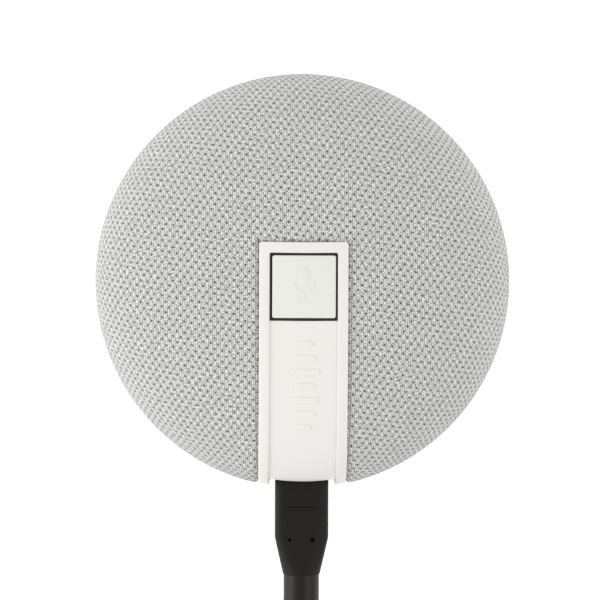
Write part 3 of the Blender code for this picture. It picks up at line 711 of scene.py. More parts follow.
def shared(name):
    """One of the shader groups, built the first time that it is wanted."""
    makers = {"grain": make_moulded_grain, "knit": make_knit_mesh, "metal": make_drawn_metal}
    if name not in GROUPS:
        GROUPS[name] = makers[name]()
    return GROUPS[name]


# ------------------------------------------------------------------ finishes

def moulded(name, colour, roughness, grain=0.12, depth=0.3, spread=0.08, specular=0.5):
    """A moulding: plastic or soft PVC with the mould's own texture."""
    finish, tree, shader = new_finish(name)
    inputs = {"Grain Size": grain, "Depth": depth, "Roughness": roughness, "Spread": spread}
    surface = use_group(tree, shared("grain"), inputs)
    shaded = tuple(c * 0.93 for c in colour)
    feed(tree, shader, Base_Color=mixed(tree, surface.outputs["Shade"], shaded, colour),
         Roughness=surface.outputs["Roughness"], Normal=surface.outputs["Normal"],
         Specular_IOR_Level=specular)
    return finish


def knitted(name):
    """Grey knit: pale loops, darker gaps and small holes. The loops and gaps are painted light and shade on the
    yarn's relief, with random tone along the threads, and the holes are painted shade, as the cover has no
    openings.
    """
    tones, repeat = colours(), sizes()
    finish, tree, shader = new_finish(name)
    cloth = node(tree, "ShaderNodeUVMap", uv_map="knit").outputs[0]
    surface = node(tree, "ShaderNodeVectorMath", {0: cloth, "Scale": 1000.0}, operation="SCALE").outputs[0]
    inputs = {"Surface": surface, "Wale": repeat.wale_spacing / MM, "Course": repeat.course_spacing / MM,
              "Slope": repeat.row_slope}
    knit = use_group(tree, shared("knit"), inputs)
    thread = mixed(tree, knit.outputs["Light"], tones.yarn_shade, tones.yarn)
    # The Holes mask lays painted shade over the yarn colour where the holes are.
    feed(tree, shader, Base_Color=mixed(tree, knit.outputs["Holes"], thread, tones.holes), Roughness=0.92,
         Normal=bumped(tree, knit.outputs["Height"], 0.55, 0.00022), Sheen_Weight=0.12, Sheen_Roughness=0.5,
         Specular_IOR_Level=0.25)
    return finish


def metal(name, colour, roughness, lines=(4000.0, 300.0, 4000.0)):
    """Drawn or turned metal. lines is how closely its marks follow one another along each axis."""
    finish, tree, shader = new_finish(name)
    surface = use_group(tree, shared("metal"), {"Lines": lines, "Roughness": roughness})
    feed(tree, shader, Base_Color=colour, Metallic=1.0, Roughness=surface.outputs["Roughness"],
         Normal=surface.outputs["Normal"])
    return finish


def wound_copper(name):
    """Fine enamelled wire laid round a former, one turn above another."""
    finish, tree, shader = new_finish(name)
    height = node(tree, "ShaderNodeSeparateXYZ", {0: object_coordinates(tree)}).outputs[2]
    turns = maths(tree, "ABSOLUTE", maths(tree, "SINE", times(tree, height, math.pi / 0.00012)))
    # The colour is darker in the grooves between the turns: painted shade.
    feed(tree, shader, Base_Color=mixed(tree, turns, (0.30, 0.11, 0.05), (0.78, 0.38, 0.2)), Metallic=1.0,
         Roughness=0.32, Normal=bumped(tree, turns, 0.6, 0.00005))
    return finish


def circuit(name):
    """Solder mask over copper tracks, with plated pads."""
    finish, tree, shader = new_finish(name)
    place = object_coordinates(tree)
    tracks = node(tree, "ShaderNodeTexBrick", {"Vector": place, "Scale": 260.0, "Mortar Size": 0.05,
                                               "Mortar Smooth": 0.1, "Bias": 0.1})
    cells = node(tree, "ShaderNodeTexVoronoi", {"Vector": place, "Scale": 420.0, "Randomness": 0.6})
    pads = between(tree, cells.outputs["Distance"], 0.13, 0.17, 1.0, 0.0)
    masked = mixed(tree, tracks.outputs["Fac"], (0.012, 0.11, 0.05), (0.03, 0.22, 0.10))
    height = plus(tree, tracks.outputs["Fac"], pads)
    feed(tree, shader, Base_Color=mixed(tree, pads, masked, (0.72, 0.66, 0.42)), Metallic=pads,
         Roughness=between(tree, pads, 0.0, 1.0, 0.45, 0.25), Normal=bumped(tree, height, 0.5, 0.00003))
    return finish


def cast_iron(name):
    """Sand-cast iron with a little rust."""
    finish, tree, shader = new_finish(name)
    place = object_coordinates(tree)
    sand = noise(tree, place, 2600.0, 4.0, 0.65)
    rust = between(tree, noise(tree, place, 160.0, 4.0, 0.6), 0.55, 0.75)
    feed(tree, shader, Base_Color=mixed(tree, rust, (0.27, 0.27, 0.28), (0.20, 0.15, 0.12)), Metallic=0.85,
         Roughness=between(tree, sand, 0.2, 0.8, 0.42, 0.68), Normal=bumped(tree, sand, 0.5, 0.00008))
    return finish


def pressed_paper(name):
    """Fibres pressed into a speaker cone, with a thin coat."""
    finish, tree, shader = new_finish(name)
    place = object_coordinates(tree)
    stretched = node(tree, "ShaderNodeMapping", {"Vector": place, "Scale": (900.0, 2400.0, 2400.0)})
    fibres = noise(tree, stretched.outputs[0], 1.0, 4.0, 0.7)
    colour = mixed(tree, fibres, (0.03, 0.03, 0.032), (0.085, 0.083, 0.08))
    feed(tree, shader, Base_Color=colour, Roughness=0.78, Normal=bumped(tree, fibres, 0.5, 0.00006))
    return finish


def open_foam(name):
    """Soft gasket foam with small open cells."""
    finish, tree, shader = new_finish(name)
    cells = node(tree, "ShaderNodeTexVoronoi", {"Vector": object_coordinates(tree), "Scale": 2600.0})
    depth = cells.outputs["Distance"]
    # The colour is darker in the cells' pits: painted shade.
    feed(tree, shader, Base_Color=mixed(tree, depth, (0.05, 0.05, 0.05), (0.15, 0.15, 0.15)), Roughness=0.95,
         Normal=bumped(tree, depth, 0.8, 0.0001))
    return finish


def resin_cloth(name):
    """Square weave stiffened with resin."""
    finish, tree, shader = new_finish(name)
    split = node(tree, "ShaderNodeSeparateXYZ", {0: object_coordinates(tree)})
    warp, weft = (maths(tree, "SINE", times(tree, split.outputs[i], math.tau / 0.0006)) for i in (0, 1))
    weave = between(tree, times(tree, warp, weft), -1.0, 1.0)
    # The colour is darker in the weave's dips: painted shade.
    feed(tree, shader, Base_Color=mixed(tree, weave, (0.36, 0.21, 0.06), (0.66, 0.45, 0.18)), Roughness=0.7,
         Normal=bumped(tree, weave, 0.7, 0.00008))
    return finish


def dusty_rubber(name, colour, roughness=0.8):
    """Matt rubber with patches of pale dust."""
    finish, tree, shader = new_finish(name)
    place = object_coordinates(tree)
    fine = noise(tree, place, 5200.0, 3.0, 0.6)
    dust = between(tree, noise(tree, place, 210.0, 4.0, 0.65), 0.56, 0.74)
    pale = tuple(min(c * 1.55 + 0.03, 1.0) for c in colour)
    feed(tree, shader, Base_Color=mixed(tree, dust, colour, pale),
         Roughness=between(tree, dust, 0.0, 1.0, roughness, 0.95),
         Normal=bumped(tree, fine, 0.4, 0.00005), Specular_IOR_Level=0.35)
    return finish


def woven_nylon(name):
    """Hook-and-loop tape: rows of short loops."""
    finish, tree, shader = new_finish(name)
    place = object_coordinates(tree)
    rows = node(tree, "ShaderNodeTexVoronoi", {"Vector": place, "Scale": 1500.0, "Randomness": 0.75})
    pile = between(tree, rows.outputs["Distance"], 0.1, 0.7)
    # The colour is darker between the loops: painted shade.
    feed(tree, shader, Base_Color=mixed(tree, pile, (0.045, 0.045, 0.047), (0.012, 0.012, 0.013)),
         Roughness=0.9, Normal=bumped(tree, pile, -0.9, 0.00025), Sheen_Weight=0.3)
    return finish


def polyimide(name):
    """Flat ribbon: copper conductors under amber film."""
    finish, tree, shader = new_finish(name)
    across = node(tree, "ShaderNodeSeparateXYZ", {0: object_coordinates(tree)}).outputs[0]
    lines = between(tree, maths(tree, "SINE", times(tree, across, math.tau / 0.0005)), -0.2, 0.2)
    feed(tree, shader, Base_Color=mixed(tree, lines, (0.34, 0.12, 0.015), (0.75, 0.36, 0.08)), Roughness=0.35,
         Normal=bumped(tree, lines, 0.3, 0.00003), Coat_Weight=0.4)
    return finish


# ------------------------------------------------------------------ the lead

def coil_place(angle, radius, height):
    """A point of the coil. Where the tie passes under the turns, they lie a little higher."""
    away = abs((angle - TIE_ANGLE + 180.0) % 360.0 - 180.0)
    lift = TIE_LIFT * smooth_step(1.6 * (1 - away / TIE_SPREAD)) if height < ON_TOP else 0.0
    turn = math.radians(angle)
    x, y = COIL_CENTRE + Vector((math.cos(turn), math.sin(turn))) * radius * MM
    return Vector((x, y, (height + lift) * MM))


def coil_route():
    """Fills the coil's lanes one after another, with a smooth change from each to the next.

    Gives the coil's points and the direction in which the cord leaves it.
    """
    points, angle = [], COIL_START
    for number, (radius, height, run) in enumerate(COIL_LANES):
        count = round(run / COIL_STEP)
        points += [coil_place(angle + run * i / count, radius, height) for i in range(count + 1)]
        angle += run
        if number + 1 == len(COIL_LANES):
            break
        next_radius, next_height, _ = COIL_LANES[number + 1]
        last = number + 2 == len(COIL_LANES)
        change = LAST_CHANGE if last else LANE_CHANGE
        count = round(change / COIL_STEP)
        for i in range(1, count):
            share = i / count
            inward = smooth_step(1.5 * share - 0.5) if last else smooth_step(share)
            upward = smooth_step(1.4 * share) if last else smooth_step(share)
            points.append(coil_place(
                angle + change * share,
                radius + (next_radius - radius) * inward,
                height + (next_height - height) * upward,
            ))
        angle += change
    end = math.radians(angle)
    along = Vector((-math.sin(end), math.cos(end), 0.0))
    points.append(points[-1] + along * TAIL_STRAIGHT)
    return points, along


class SPEAKER_OT_lead(bpy.types.Operator):
    """The cable, from the plug's moulding through its coil to the far plug."""

    bl_idname = "speaker.lead"
    bl_label = "Lead"

    def execute(self, context):
        size = sizes()
        coil, _ = coil_route()
        inside_plug = Vector(LEAD_EXIT) + Vector((0, 0.0006, 0))  # so that no gap shows round the cable
        # The cable starts inside the plug, before the route's first point. Its last point is the coil's first.
        route = [inside_plug, *[Vector(p) for p in LEAD_ROUTE[1:-1]], *coil]
        deselect()
        bpy.ops.curve.primitive_bezier_curve_add()
        obj = context.object
        obj.name = "cable"
        curve = obj.data
        curve.splines.clear()
        spline = curve.splines.new("POLY")
        spline.points.add(len(route) - 1)
        for point, place in zip(spline.points, route):
            point.co = (*place, 1.0)
        curve.dimensions = "3D"
        curve.bevel_depth = size.cord_diameter / 2
        curve.bevel_resolution = 8
        curve.use_fill_caps = True
        spline.use_smooth = True
        sheath = moulded("soft_black_sheath", colours().lead, 0.42, grain=0.09, depth=0.25, spread=0.1,
                         specular=0.21)
        curve.materials.append(sheath)
        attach(obj, "lead")
        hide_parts("lead_cable", "cable_coil", "cable_tail")
        return {"FINISHED"}


def make_plug(name, place, finish, replaces):
    """A plug's overmoulding with its groove, its two moulding holes and its small mark, in a given place."""
    def section(distance, half_w, half_t, power):
        """The moulding's outline at a distance behind its face."""
        def at(angle):
            across, up = soft_square(angle, half_w * MM, half_t * MM, power)
            return Vector((across, -distance * MM, up))
        return at

    plug = grow(name, [section(*row) for row in PLUG_SECTIONS], around=64)
    top = PLUG_HALF_T * MM
    groove = block("groove", (-3.7 * MM, -6.75 * MM, top - 0.28 * MM), (3.2 * MM, -6.55 * MM, top + 1 * MM))
    cut(plug, groove)
    for x, radius in ((-2.45, 0.36), (2.2, 0.5)):
        cut(plug, drum("hole", (x * MM, -13.3 * MM), radius * MM, top - 1.1 * MM, top + 1 * MM, 20))
    mark = block("mark", (3.85 * MM, -6.6 * MM, top - 0.15 * MM), (4.1 * MM, -6.0 * MM, top + 1 * MM))
    cut(plug, mark)
    plug.data.transform(place)
    return place_piece(plug, finish, "lead", (replaces,), smooth=28.0)


def stadium(angle, half_w, half_t):
    """A point on a flat outline with half-round ends."""
    cosine, side = math.cos(angle), math.copysign(1.0, math.sin(angle))
    straight = 0.55  # the cosine at which the flat side ends
    if abs(cosine) < straight:
        return (half_w - half_t) * cosine / straight, half_t * side
    bend = (1 - (abs(cosine) - straight) / (1 - straight)) * math.pi / 2
    return math.copysign(half_w - half_t + half_t * math.cos(bend), cosine), half_t * math.sin(bend) * side


def make_plug_shell(name, place, finish, replaces):
    """The rolled steel shell, open at its tip."""
    def section(distance, inset):
        """The shell's outline at a distance out of the plug's face."""
        def at(angle):
            across, up = stadium(angle, (SHELL_HALF_W - inset) * MM, (SHELL_HALF_T - inset) * MM)
            return Vector((across, distance * MM, up))
        return at

    rows = [section(0.2, 0.0), section(6.2, 0.0), section(6.4, 0.08), section(6.4, 0.2), section(6.2, 0.25),
            section(0.6, 0.25)]
    shell = grow(name, rows, around=64)
    shell.data.transform(place)
    return place_piece(shell, finish, "lead", (replaces,), smooth=30.0)


class SPEAKER_OT_plugs(bpy.types.Operator):
    """The plug in the speaker's socket and the one on the lead's far end."""

    bl_idname = "speaker.plugs"
    bl_label = "Plugs"

    def execute(self, context):
        finish = moulded("black_overmould", colours().lead, 0.55, grain=0.1, depth=0.3, spread=0.1,
                         specular=0.15)
        steel = metal("plug_steel", (0.66, 0.66, 0.67), 0.24)
        near = Matrix.Translation((0, PLUG_FACE_Y, PORT_Z))
        coil, along = coil_route()
        heading = Matrix.Rotation(math.atan2(-along.x, along.y), 4, "Z")
        far = Matrix.Translation(coil[-1] + along * FAR_PLUG_REACH * MM) @ heading
        make_plug("plug_body", near, finish, "plug_overmold")
        make_plug_shell("plug_tongue", near, steel, "plug_shell")
        make_plug("far_plug_body", far, finish, "far_plug_overmold")
        make_plug_shell("far_plug_tongue", far, steel, "far_plug_shell")
        return {"FINISHED"}


class SPEAKER_OT_coil_tie(bpy.types.Operator):
    """The band that holds the stored length of the lead together."""

    bl_idname = "speaker.coil_tie"
    bl_label = "Coil tie"

    def execute(self, context):
        inner_r, outer_r = 25.4 * MM, 50.4 * MM
        low, high = 0.1 * MM, 17.0 * MM
        half_w, half_h = (outer_r - inner_r) / 2, (high - low) / 2
        wall, half_band = 0.8 * MM, 5.0 * MM
        middle = Vector(((inner_r + outer_r) / 2, 0, (low + high) / 2))

        def section(y, inset):
            """The band's outline at a place across its width."""
            def at(angle):
                across, up = soft_square(angle, half_w - inset, half_h - inset, 9.0)
                return middle + Vector((across, y, up))
            return at

        edges = ((-half_band, 0.0), (half_band, 0.0), (half_band, wall), (-half_band, wall))
        band = grow("tie_band", [section(*edge) for edge in edges], around=128, ends="bridge")
        half_tab = half_band * 0.92
        tab = block("tab", (-4 * MM, -half_tab, 0), (5 * MM, half_tab, 0.7 * MM))
        round_upright_edges(tab, 1.6 * MM, 5)
        tab.data.transform(Matrix.Translation((middle.x, 0, high - 0.05 * MM)))
        join(band, [tab])
        turn = Matrix.Translation((*COIL_CENTRE, 0)) @ Matrix.Rotation(math.radians(TIE_ANGLE), 4, "Z")
        band.data.transform(turn)
        place_piece(band, woven_nylon("black_hook_tape"), "lead", ("coil_tie",))
        return {"FINISHED"}


# ------------------------------------------------------------------ the casing's pieces

class SPEAKER_OT_knit_cover(bpy.types.Operator):
    """The knitted cover, stretched over the grille and tucked in beside the strap and at its hem."""

    bl_idname = "speaker.knit_cover"
    bl_label = "Knit cover"
    strap_gap = 0.14 * MM

    def execute(self, context):
        cover = self.whole_dome()
        edge, top = STRAP_HALF + self.strap_gap, STRAP_TOP_Y + self.strap_gap
        self.cut_strap_opening(cover, edge, top)
        self.tuck_edges(cover, edge, top)
        apply_modifier(cover, "SOLIDIFY", thickness=0.75 * MM, offset=-1.0, use_even_offset=True)
        self.lay_knit(cover)
        place_piece(cover, knitted("grey_knit"), "casing", ("fabric_cover",), smooth=60.0)
        return {"FINISHED"}

    @staticmethod
    def whole_dome(rows=44, crown_share=0.012):
        """The cover before it is cut, from a small ring at the crown down to the hem."""
        lowest = length_to_height(COVER_LOW.z)
        outline = []
        for i in range(rows + 1):
            lean = lean_at(lowest * (crown_share + (1 - crown_share) * i / rows))
            place, _ = pebble_point(0.0, lean)
            outline.append((abs(place.y), place.z))
        hem_turn = 0.00012
        outline[-1] = (outline[-1][0] - hem_turn, outline[-1][1])
        return grow("knit_cover", [ring_section(r, z) for r, z in outline], around=192, ends="open")

    @staticmethod
    def cut_strap_opening(cover, edge, top):
        """Takes out the cloth under the strap, and cuts the faces beside it small enough to bend."""
        for shift in (0.0, 0.18, 0.4, 0.75, 1.3):
            slice_across(cover, 0, [edge + shift * MM, -edge - shift * MM])
            slice_across(cover, 1, [top + shift * MM])
        take(cover)
        bpy.ops.object.mode_set(mode="EDIT")
        bpy.ops.mesh.select_mode(type="FACE")
        bm = bmesh.from_edit_mesh(cover.data)
        for face in bm.faces:
            middle = face.calc_center_median()
            face.select_set(abs(middle.x) < edge and middle.y < top)
        bmesh.update_edit_mesh(cover.data)
        bpy.ops.mesh.delete(type="FACE")
        bpy.ops.object.mode_set(mode="OBJECT")

    @staticmethod
    def tuck_edges(cover, edge, top):
        """Bends the cloth inwards beside the strap and at its hem."""
        tuck_depth, tuck_reach = 0.62 * MM, 0.42 * MM
        hem_depth = hem_reach = 0.35 * MM
        for vertex in cover.data.vertices:
            x, y, z = vertex.co
            beside = max(abs(x) - edge, 0.0)
            beyond = max(y - top, 0.0)
            away = math.hypot(beside, beyond)
            tuck = tuck_depth * math.exp(-((away / tuck_reach) ** 1.3))
            hem = hem_depth * math.exp(-max(z - COVER_LOW.z, 0.0) / hem_reach)
            lean = math.atan2(-y, z - EQUATOR_Z)
            _, normal = pebble_point(x, lean)
            vertex.co -= normal * (tuck + hem)

    @staticmethod
    def lay_knit(cover):
        """Spreads the cloth's own coordinates from the crown, as a flat piece pulled down all round."""
        layer = cover.data.uv_layers.new(name="knit")
        spots = []
        for vertex in cover.data.vertices:
            x, y, z = vertex.co
            radius = max(math.hypot(x, y), 1e-9)
            length = length_at(math.atan2(radius, z - EQUATOR_Z))
            spots.append((length * x / radius, length * y / radius))
        for loop in cover.data.loops:
            layer.data[loop.index].uv = spots[loop.vertex_index]


def pill(name, centre, half_x, half_y, low, high):
    """A small raised bar with round ends and a soft top edge, for embossing."""
    x, y = centre
    bar = block(name, (x - half_x, y - half_y, low), (x + half_x, y + half_y, high))
    round_upright_edges(bar, min(half_x, half_y) * 0.92, 5)
    soften(bar, (high - low) * 0.3, 2, 50.0)
    return bar


class SPEAKER_OT_strap(bpy.types.Operator):
    """The white strap: two rails joined by a top border, and the sunk panel with its row of raised bars."""

    bl_idname = "speaker.strap"
    bl_label = "Strap"

    def execute(self, context):
        size = sizes()
        white = moulded("white_satin_moulding", colours().strap, 0.42, grain=0.11, depth=0.22, spread=0.07)
        end = -length_to_height(STRAP_LOW.z)
        top = STRAP_TOP_Y
        rails = block("strap_rails", (-STRAP_HALF, end, -0.9 * MM), (STRAP_HALF, top, size.rail_rise))
        round_upright_edges(rails, 0.5 * MM, 5, lambda place: place.y > 0)
        middle = block("middle", (-RAIL_INNER, end - 1 * MM, -3 * MM), (RAIL_INNER, OPENING_TOP_Y, 3 * MM))
        round_upright_edges(middle, 0.35 * MM, 4, lambda place: place.y > 0)
        cut(rails, middle)
        soften(rails, 0.26 * MM, 4, 40.0)
        slice_across(rails, 1, spaced(end, top, 0.9 * MM))
        slice_across(rails, 0, spaced(-STRAP_HALF, STRAP_HALF, 1.3 * MM))
        lay_on_pebble(rails, 0.74 * MM, 20.5 * MM, 12.5 * MM)
        place_piece(rails, white, "casing", ("strap_trim",), smooth=30.0)

        panel_top = BUTTON_Y - OPENING_HALF
        panel_end = -length_to_height(PANEL_END_Z)
        panel = block("strap_panel", (-RAIL_INNER - 0.05 * MM, panel_end, -0.8 * MM),
                      (RAIL_INNER + 0.05 * MM, panel_top, size.panel_rise))
        soften(panel, 0.12 * MM, 3)
        low, high = size.panel_rise - 0.1 * MM, size.panel_rise + size.emboss_rise
        first_bar_y, bar_spacing = -12.6, 2.85
        bars = []
        for number, half in enumerate((1.5, 2.3, 3.0, 2.0, 2.8, 2.2, 1.4)):
            centre = (0.2 * MM, (first_bar_y - bar_spacing * number) * MM)
            bars.append(pill("bar", centre, half * MM, 0.6 * MM, low, high))
        join(panel, bars)
        slice_across(panel, 1, spaced(panel_end, panel_top, 0.9 * MM))
        slice_across(panel, 0, spaced(-RAIL_INNER, RAIL_INNER, 1.1 * MM))
        lay_on_pebble(panel, 1.3 * MM, 19.2 * MM, PANEL_END_Z)
        place_piece(panel, white, "casing", smooth=30.0)
        return {"FINISHED"}


class SPEAKER_OT_button(bpy.types.Operator):
    """The square button with a faint raised microphone sign."""

    bl_idname = "speaker.button"
    bl_label = "Button"

    def execute(self, context):
        half = 6.32 * MM
        top = BUTTON_HIGH.z - 0.09 * MM
        back = BUTTON_Y + half - 0.17 * MM
        shift = 0.05 * MM
        cap = block("button_cap", (shift - half, BUTTON_Y + shift - half, BUTTON_LOW.z + 0.4 * MM),
                    (shift + half, back + shift, top))
        round_upright_edges(cap, 0.42 * MM, 5)
        soften(cap, 0.2 * MM, 4, 50.0)
        hollow, ceiling = 5.2 * MM, 28.5 * MM
        pocket_low = (-hollow, BUTTON_Y - hollow, BUTTON_LOW.z)
        cut(cap, block("pocket", pocket_low, (hollow, BUTTON_Y + hollow, ceiling)))
        stem = drum("stem", (0, BUTTON_Y), 1.5 * MM, 27.4 * MM, ceiling + 0.1 * MM, 32)
        low, high = top - 0.1 * MM, top + 0.085 * MM

        def sign_bar(x, y, half_x, half_y):
            """A bar of the microphone sign, in millimetres from the button's middle."""
            return pill("sign", (x * MM, BUTTON_Y + y * MM), half_x * MM, half_y * MM, low, high)

        cradle_y = BUTTON_Y + 0.9 * MM
        cradle = drum("cradle", (0, cradle_y), 2.35 * MM, low, high)
        cut(cradle, drum("bore", (0, cradle_y), 1.85 * MM, low - MM, high + MM))
        cut(cradle, block("upper", (-4 * MM, cradle_y, low - MM), (4 * MM, BUTTON_Y + 6 * MM, high + MM)))
        soften(cradle, 0.05 * MM, 2, 50.0)
        capsule = sign_bar(0, 1.9, 1.15, 2.0)
        stand = sign_bar(0, -2.1, 0.25, 0.75)
        stand_foot = sign_bar(0, -3.0, 1.35, 0.25)
        join(cap, [stem, capsule, cradle, stand, stand_foot])
        finish = moulded("button_moulding", colours().button, 0.4, grain=0.1, depth=0.2, spread=0.06)
        place_piece(cap, finish, "button", ("mute_button",), smooth=30.0)
        return {"FINISHED"}


class SPEAKER_OT_light_guide(bpy.types.Operator):
    """The smoked square round the button."""

    bl_idname = "speaker.light_guide"
    bl_label = "Light guide"

    def execute(self, context):
        outer, inner = 6.83 * MM, 6.39 * MM
        low, high = 25.9 * MM, 29.25 * MM
        trim = 0.17 * MM
        back = BUTTON_Y - trim
        guide = block("smoked_square", (-outer, BUTTON_Y - outer, low), (outer, back + outer, high))
        round_upright_edges(guide, 0.35 * MM, 4)
        hollow = block("hollow", (-inner, BUTTON_Y - inner, low - MM), (inner, back + inner, high + MM))
        round_upright_edges(hollow, 0.3 * MM, 4)
        cut(guide, hollow)
        soften(guide, 0.05 * MM, 2)
        finish = moulded("smoked_light_guide", (0.010, 0.010, 0.009), 0.3, grain=0.2, depth=0.1, spread=0.04)
        place_piece(guide, finish, "casing", ("light_guide",))
        return {"FINISHED"}


class SPEAKER_OT_base(bpy.types.Operator):
    """The lower housing, with a sunk plate in the middle of its underside."""

    bl_idname = "speaker.base"
    bl_label = "Base"

    def execute(self, context):
        bottom, top = BASE_LOW.z / MM, 5.0

        def outside(z):
            """The casing's radius at a height, in millimetres."""
            return pebble_radius(z * MM) / MM

        sunk_plate = [(3.0, bottom + 0.25), (12.0, bottom + 0.25), (12.0, bottom)]
        foot_groove = [(20.8, bottom), (20.8, 1.8), (31.2, 1.8), (31.2, bottom)]
        lower_edge = [(outside(bottom) - 0.5, bottom), (outside(bottom + 0.25), bottom + 0.25)]
        steps = 12
        wall = []
        for i in range(1, steps + 1):
            z = bottom + 0.25 + (top - 0.15 - bottom - 0.25) * i / steps
            wall.append((outside(z), z))
        rim = [(outside(top) - 0.25, top), (38.6, top), (38.2, 5.25)]
        lip_and_floor = [(34.4, 5.25), (34.4, 6.9), (33.8, 6.9), (33.8, 4.2), (32.9, 3.2), (3.0, 3.2)]
        outline = sunk_plate + foot_groove + lower_edge + wall + rim + lip_and_floor
        base = turned("lower_housing", outline)
        soften(base, 0.18 * MM, 3, 50.0)
        finish = moulded("grey_housing", colours().base, 0.52, grain=0.2, depth=0.55, spread=0.1)
        place_piece(base, finish, "casing", ("base_housing",))
        return {"FINISHED"}


class SPEAKER_OT_foot(bpy.types.Operator):
    """The rubber foot, a ring with shallow grooves underneath."""

    bl_idname = "speaker.foot"
    bl_label = "Foot"

    def execute(self, context):
        inner, outer, top = 21.15, FOOT_HIGH.x / MM - 0.05, 1.5
        outline = [(inner, top), (inner, 0.25), (inner + 0.25, 0.0)]
        for middle in (23.3, 26.0, 28.7):
            outline += [(middle - 0.35, 0.0), (middle - 0.2, 0.3), (middle + 0.2, 0.3), (middle + 0.35, 0.0)]
        outline += [(outer - 0.45, 0.0), (outer - 0.13, 0.13), (outer, 0.45), (outer, top)]
        foot = turned("rubber_foot", outline, ends="bridge")
        rubber = dusty_rubber("grey_foot_rubber", (0.15, 0.15, 0.155))
        place_piece(foot, rubber, "casing", ("foot_pad",), smooth=28.0)
        return {"FINISHED"}


class SPEAKER_OT_port_frame(bpy.types.Operator):
    """The pocket round the socket, which follows the casing's curve at its mouth."""

    bl_idname = "speaker.port_frame"
    bl_label = "Port frame"

    def execute(self, context):
        mouth_r = 40.85 * MM

        def section(y, half_w, half_h, power, curved=False):
            """The pocket's outline at a depth, or at a distance in from the casing's curve."""
            def at(angle):
                across, up = soft_square(angle, half_w * MM, half_h * MM, power)
                depth = -math.sqrt(mouth_r**2 - across**2) + y * MM if curved else y * MM
                return Vector((across, depth, PORT_Z + up))
            return at

        rows = [
            section(-38.0, 6.5, 4.58, 9.0),
            section(0.12, 6.5, 4.58, 9.0, True),
            section(0.0, 6.42, 4.5, 9.0, True),
            section(0.0, 6.24, 4.32, 8.0, True),
            section(0.15, 6.12, 4.2, 8.0, True),
            section(-38.8, 6.1, 4.18, 8.0),
            section(-38.8, 4.8, 1.95, 4.0),
            section(-38.0, 4.8, 1.95, 4.0),
        ]
        pocket = grow("port_pocket", rows, around=96, ends="bridge")
        white = moulded("port_moulding", colours().strap, 0.45, grain=0.11, depth=0.25)
        place_piece(pocket, white, "casing", ("port_frame",), smooth=30.0)
        return {"FINISHED"}


class SPEAKER_OT_cone_suspension(bpy.types.Operator):
    """The cone's rubber roll and corrugated spider. The inner edge of each moves with the cone, in a sleeve."""

    bl_idname = "speaker.cone_suspension"
    bl_label = "Cone suspension"

    def execute(self, context):
        rubber = dusty_rubber("surround_rubber", (0.03, 0.03, 0.031), 0.6)
        cloth = resin_cloth("impregnated_cloth")

        def roll(radius, start, end, steps=12):
            """An arc round the roll's middle, between two angles."""
            turns = [math.radians(start + (end - start) * i / steps) for i in range(steps + 1)]
            return [(16.25 + radius * math.cos(turn), 21.25 + radius * math.sin(turn)) for turn in turns]

        half_roll = [(15.0, 19.9), *roll(1.25, 180, 0), (18.6, 21.25), (18.6, 21.6), *roll(1.5, 14, 180),
                     (14.75, 19.9)]
        lip = [(13.4, 20.18), (14.5, 20.79), (14.55, 20.35), (14.68, 20.35), (14.68, 20.95), (14.5, 21.1),
               (14.2, 21.0), (13.4, 20.5)]
        outer_roll = turned("surround_roll", half_roll, ends="bridge")
        place_piece(outer_roll, rubber, "casing", ("driver_surround",))
        place_piece(turned("surround_lip", lip, ends="bridge"), rubber, "cone")

        inner, outer, middle_z, wave_height = 8.8, 12.95, 15.55, 0.28
        waves, steps, half_thick = 3, 48, 0.12
        wave = []
        for i in range(steps + 1):
            share = i / steps
            z = middle_z - wave_height * math.cos(math.tau * waves * share)
            wave.append((inner + (outer - inner) * share, z))
        disc = [(8.6, 14.5), (8.6, 15.95), (8.75, 15.95), *[(r, z + half_thick) for r, z in wave],
                *[(r, z - half_thick) for r, z in reversed(wave)], (8.75, 14.5)]
        collar = [(7.15, 15.5), (8.52, 15.5), (8.52, 15.75), (7.15, 15.75)]
        place_piece(turned("spider_disc", disc, ends="bridge"), cloth, "casing", ("driver_spider",))
        place_piece(turned("spider_collar", collar, ends="bridge"), cloth, "cone")
        return {"FINISHED"}


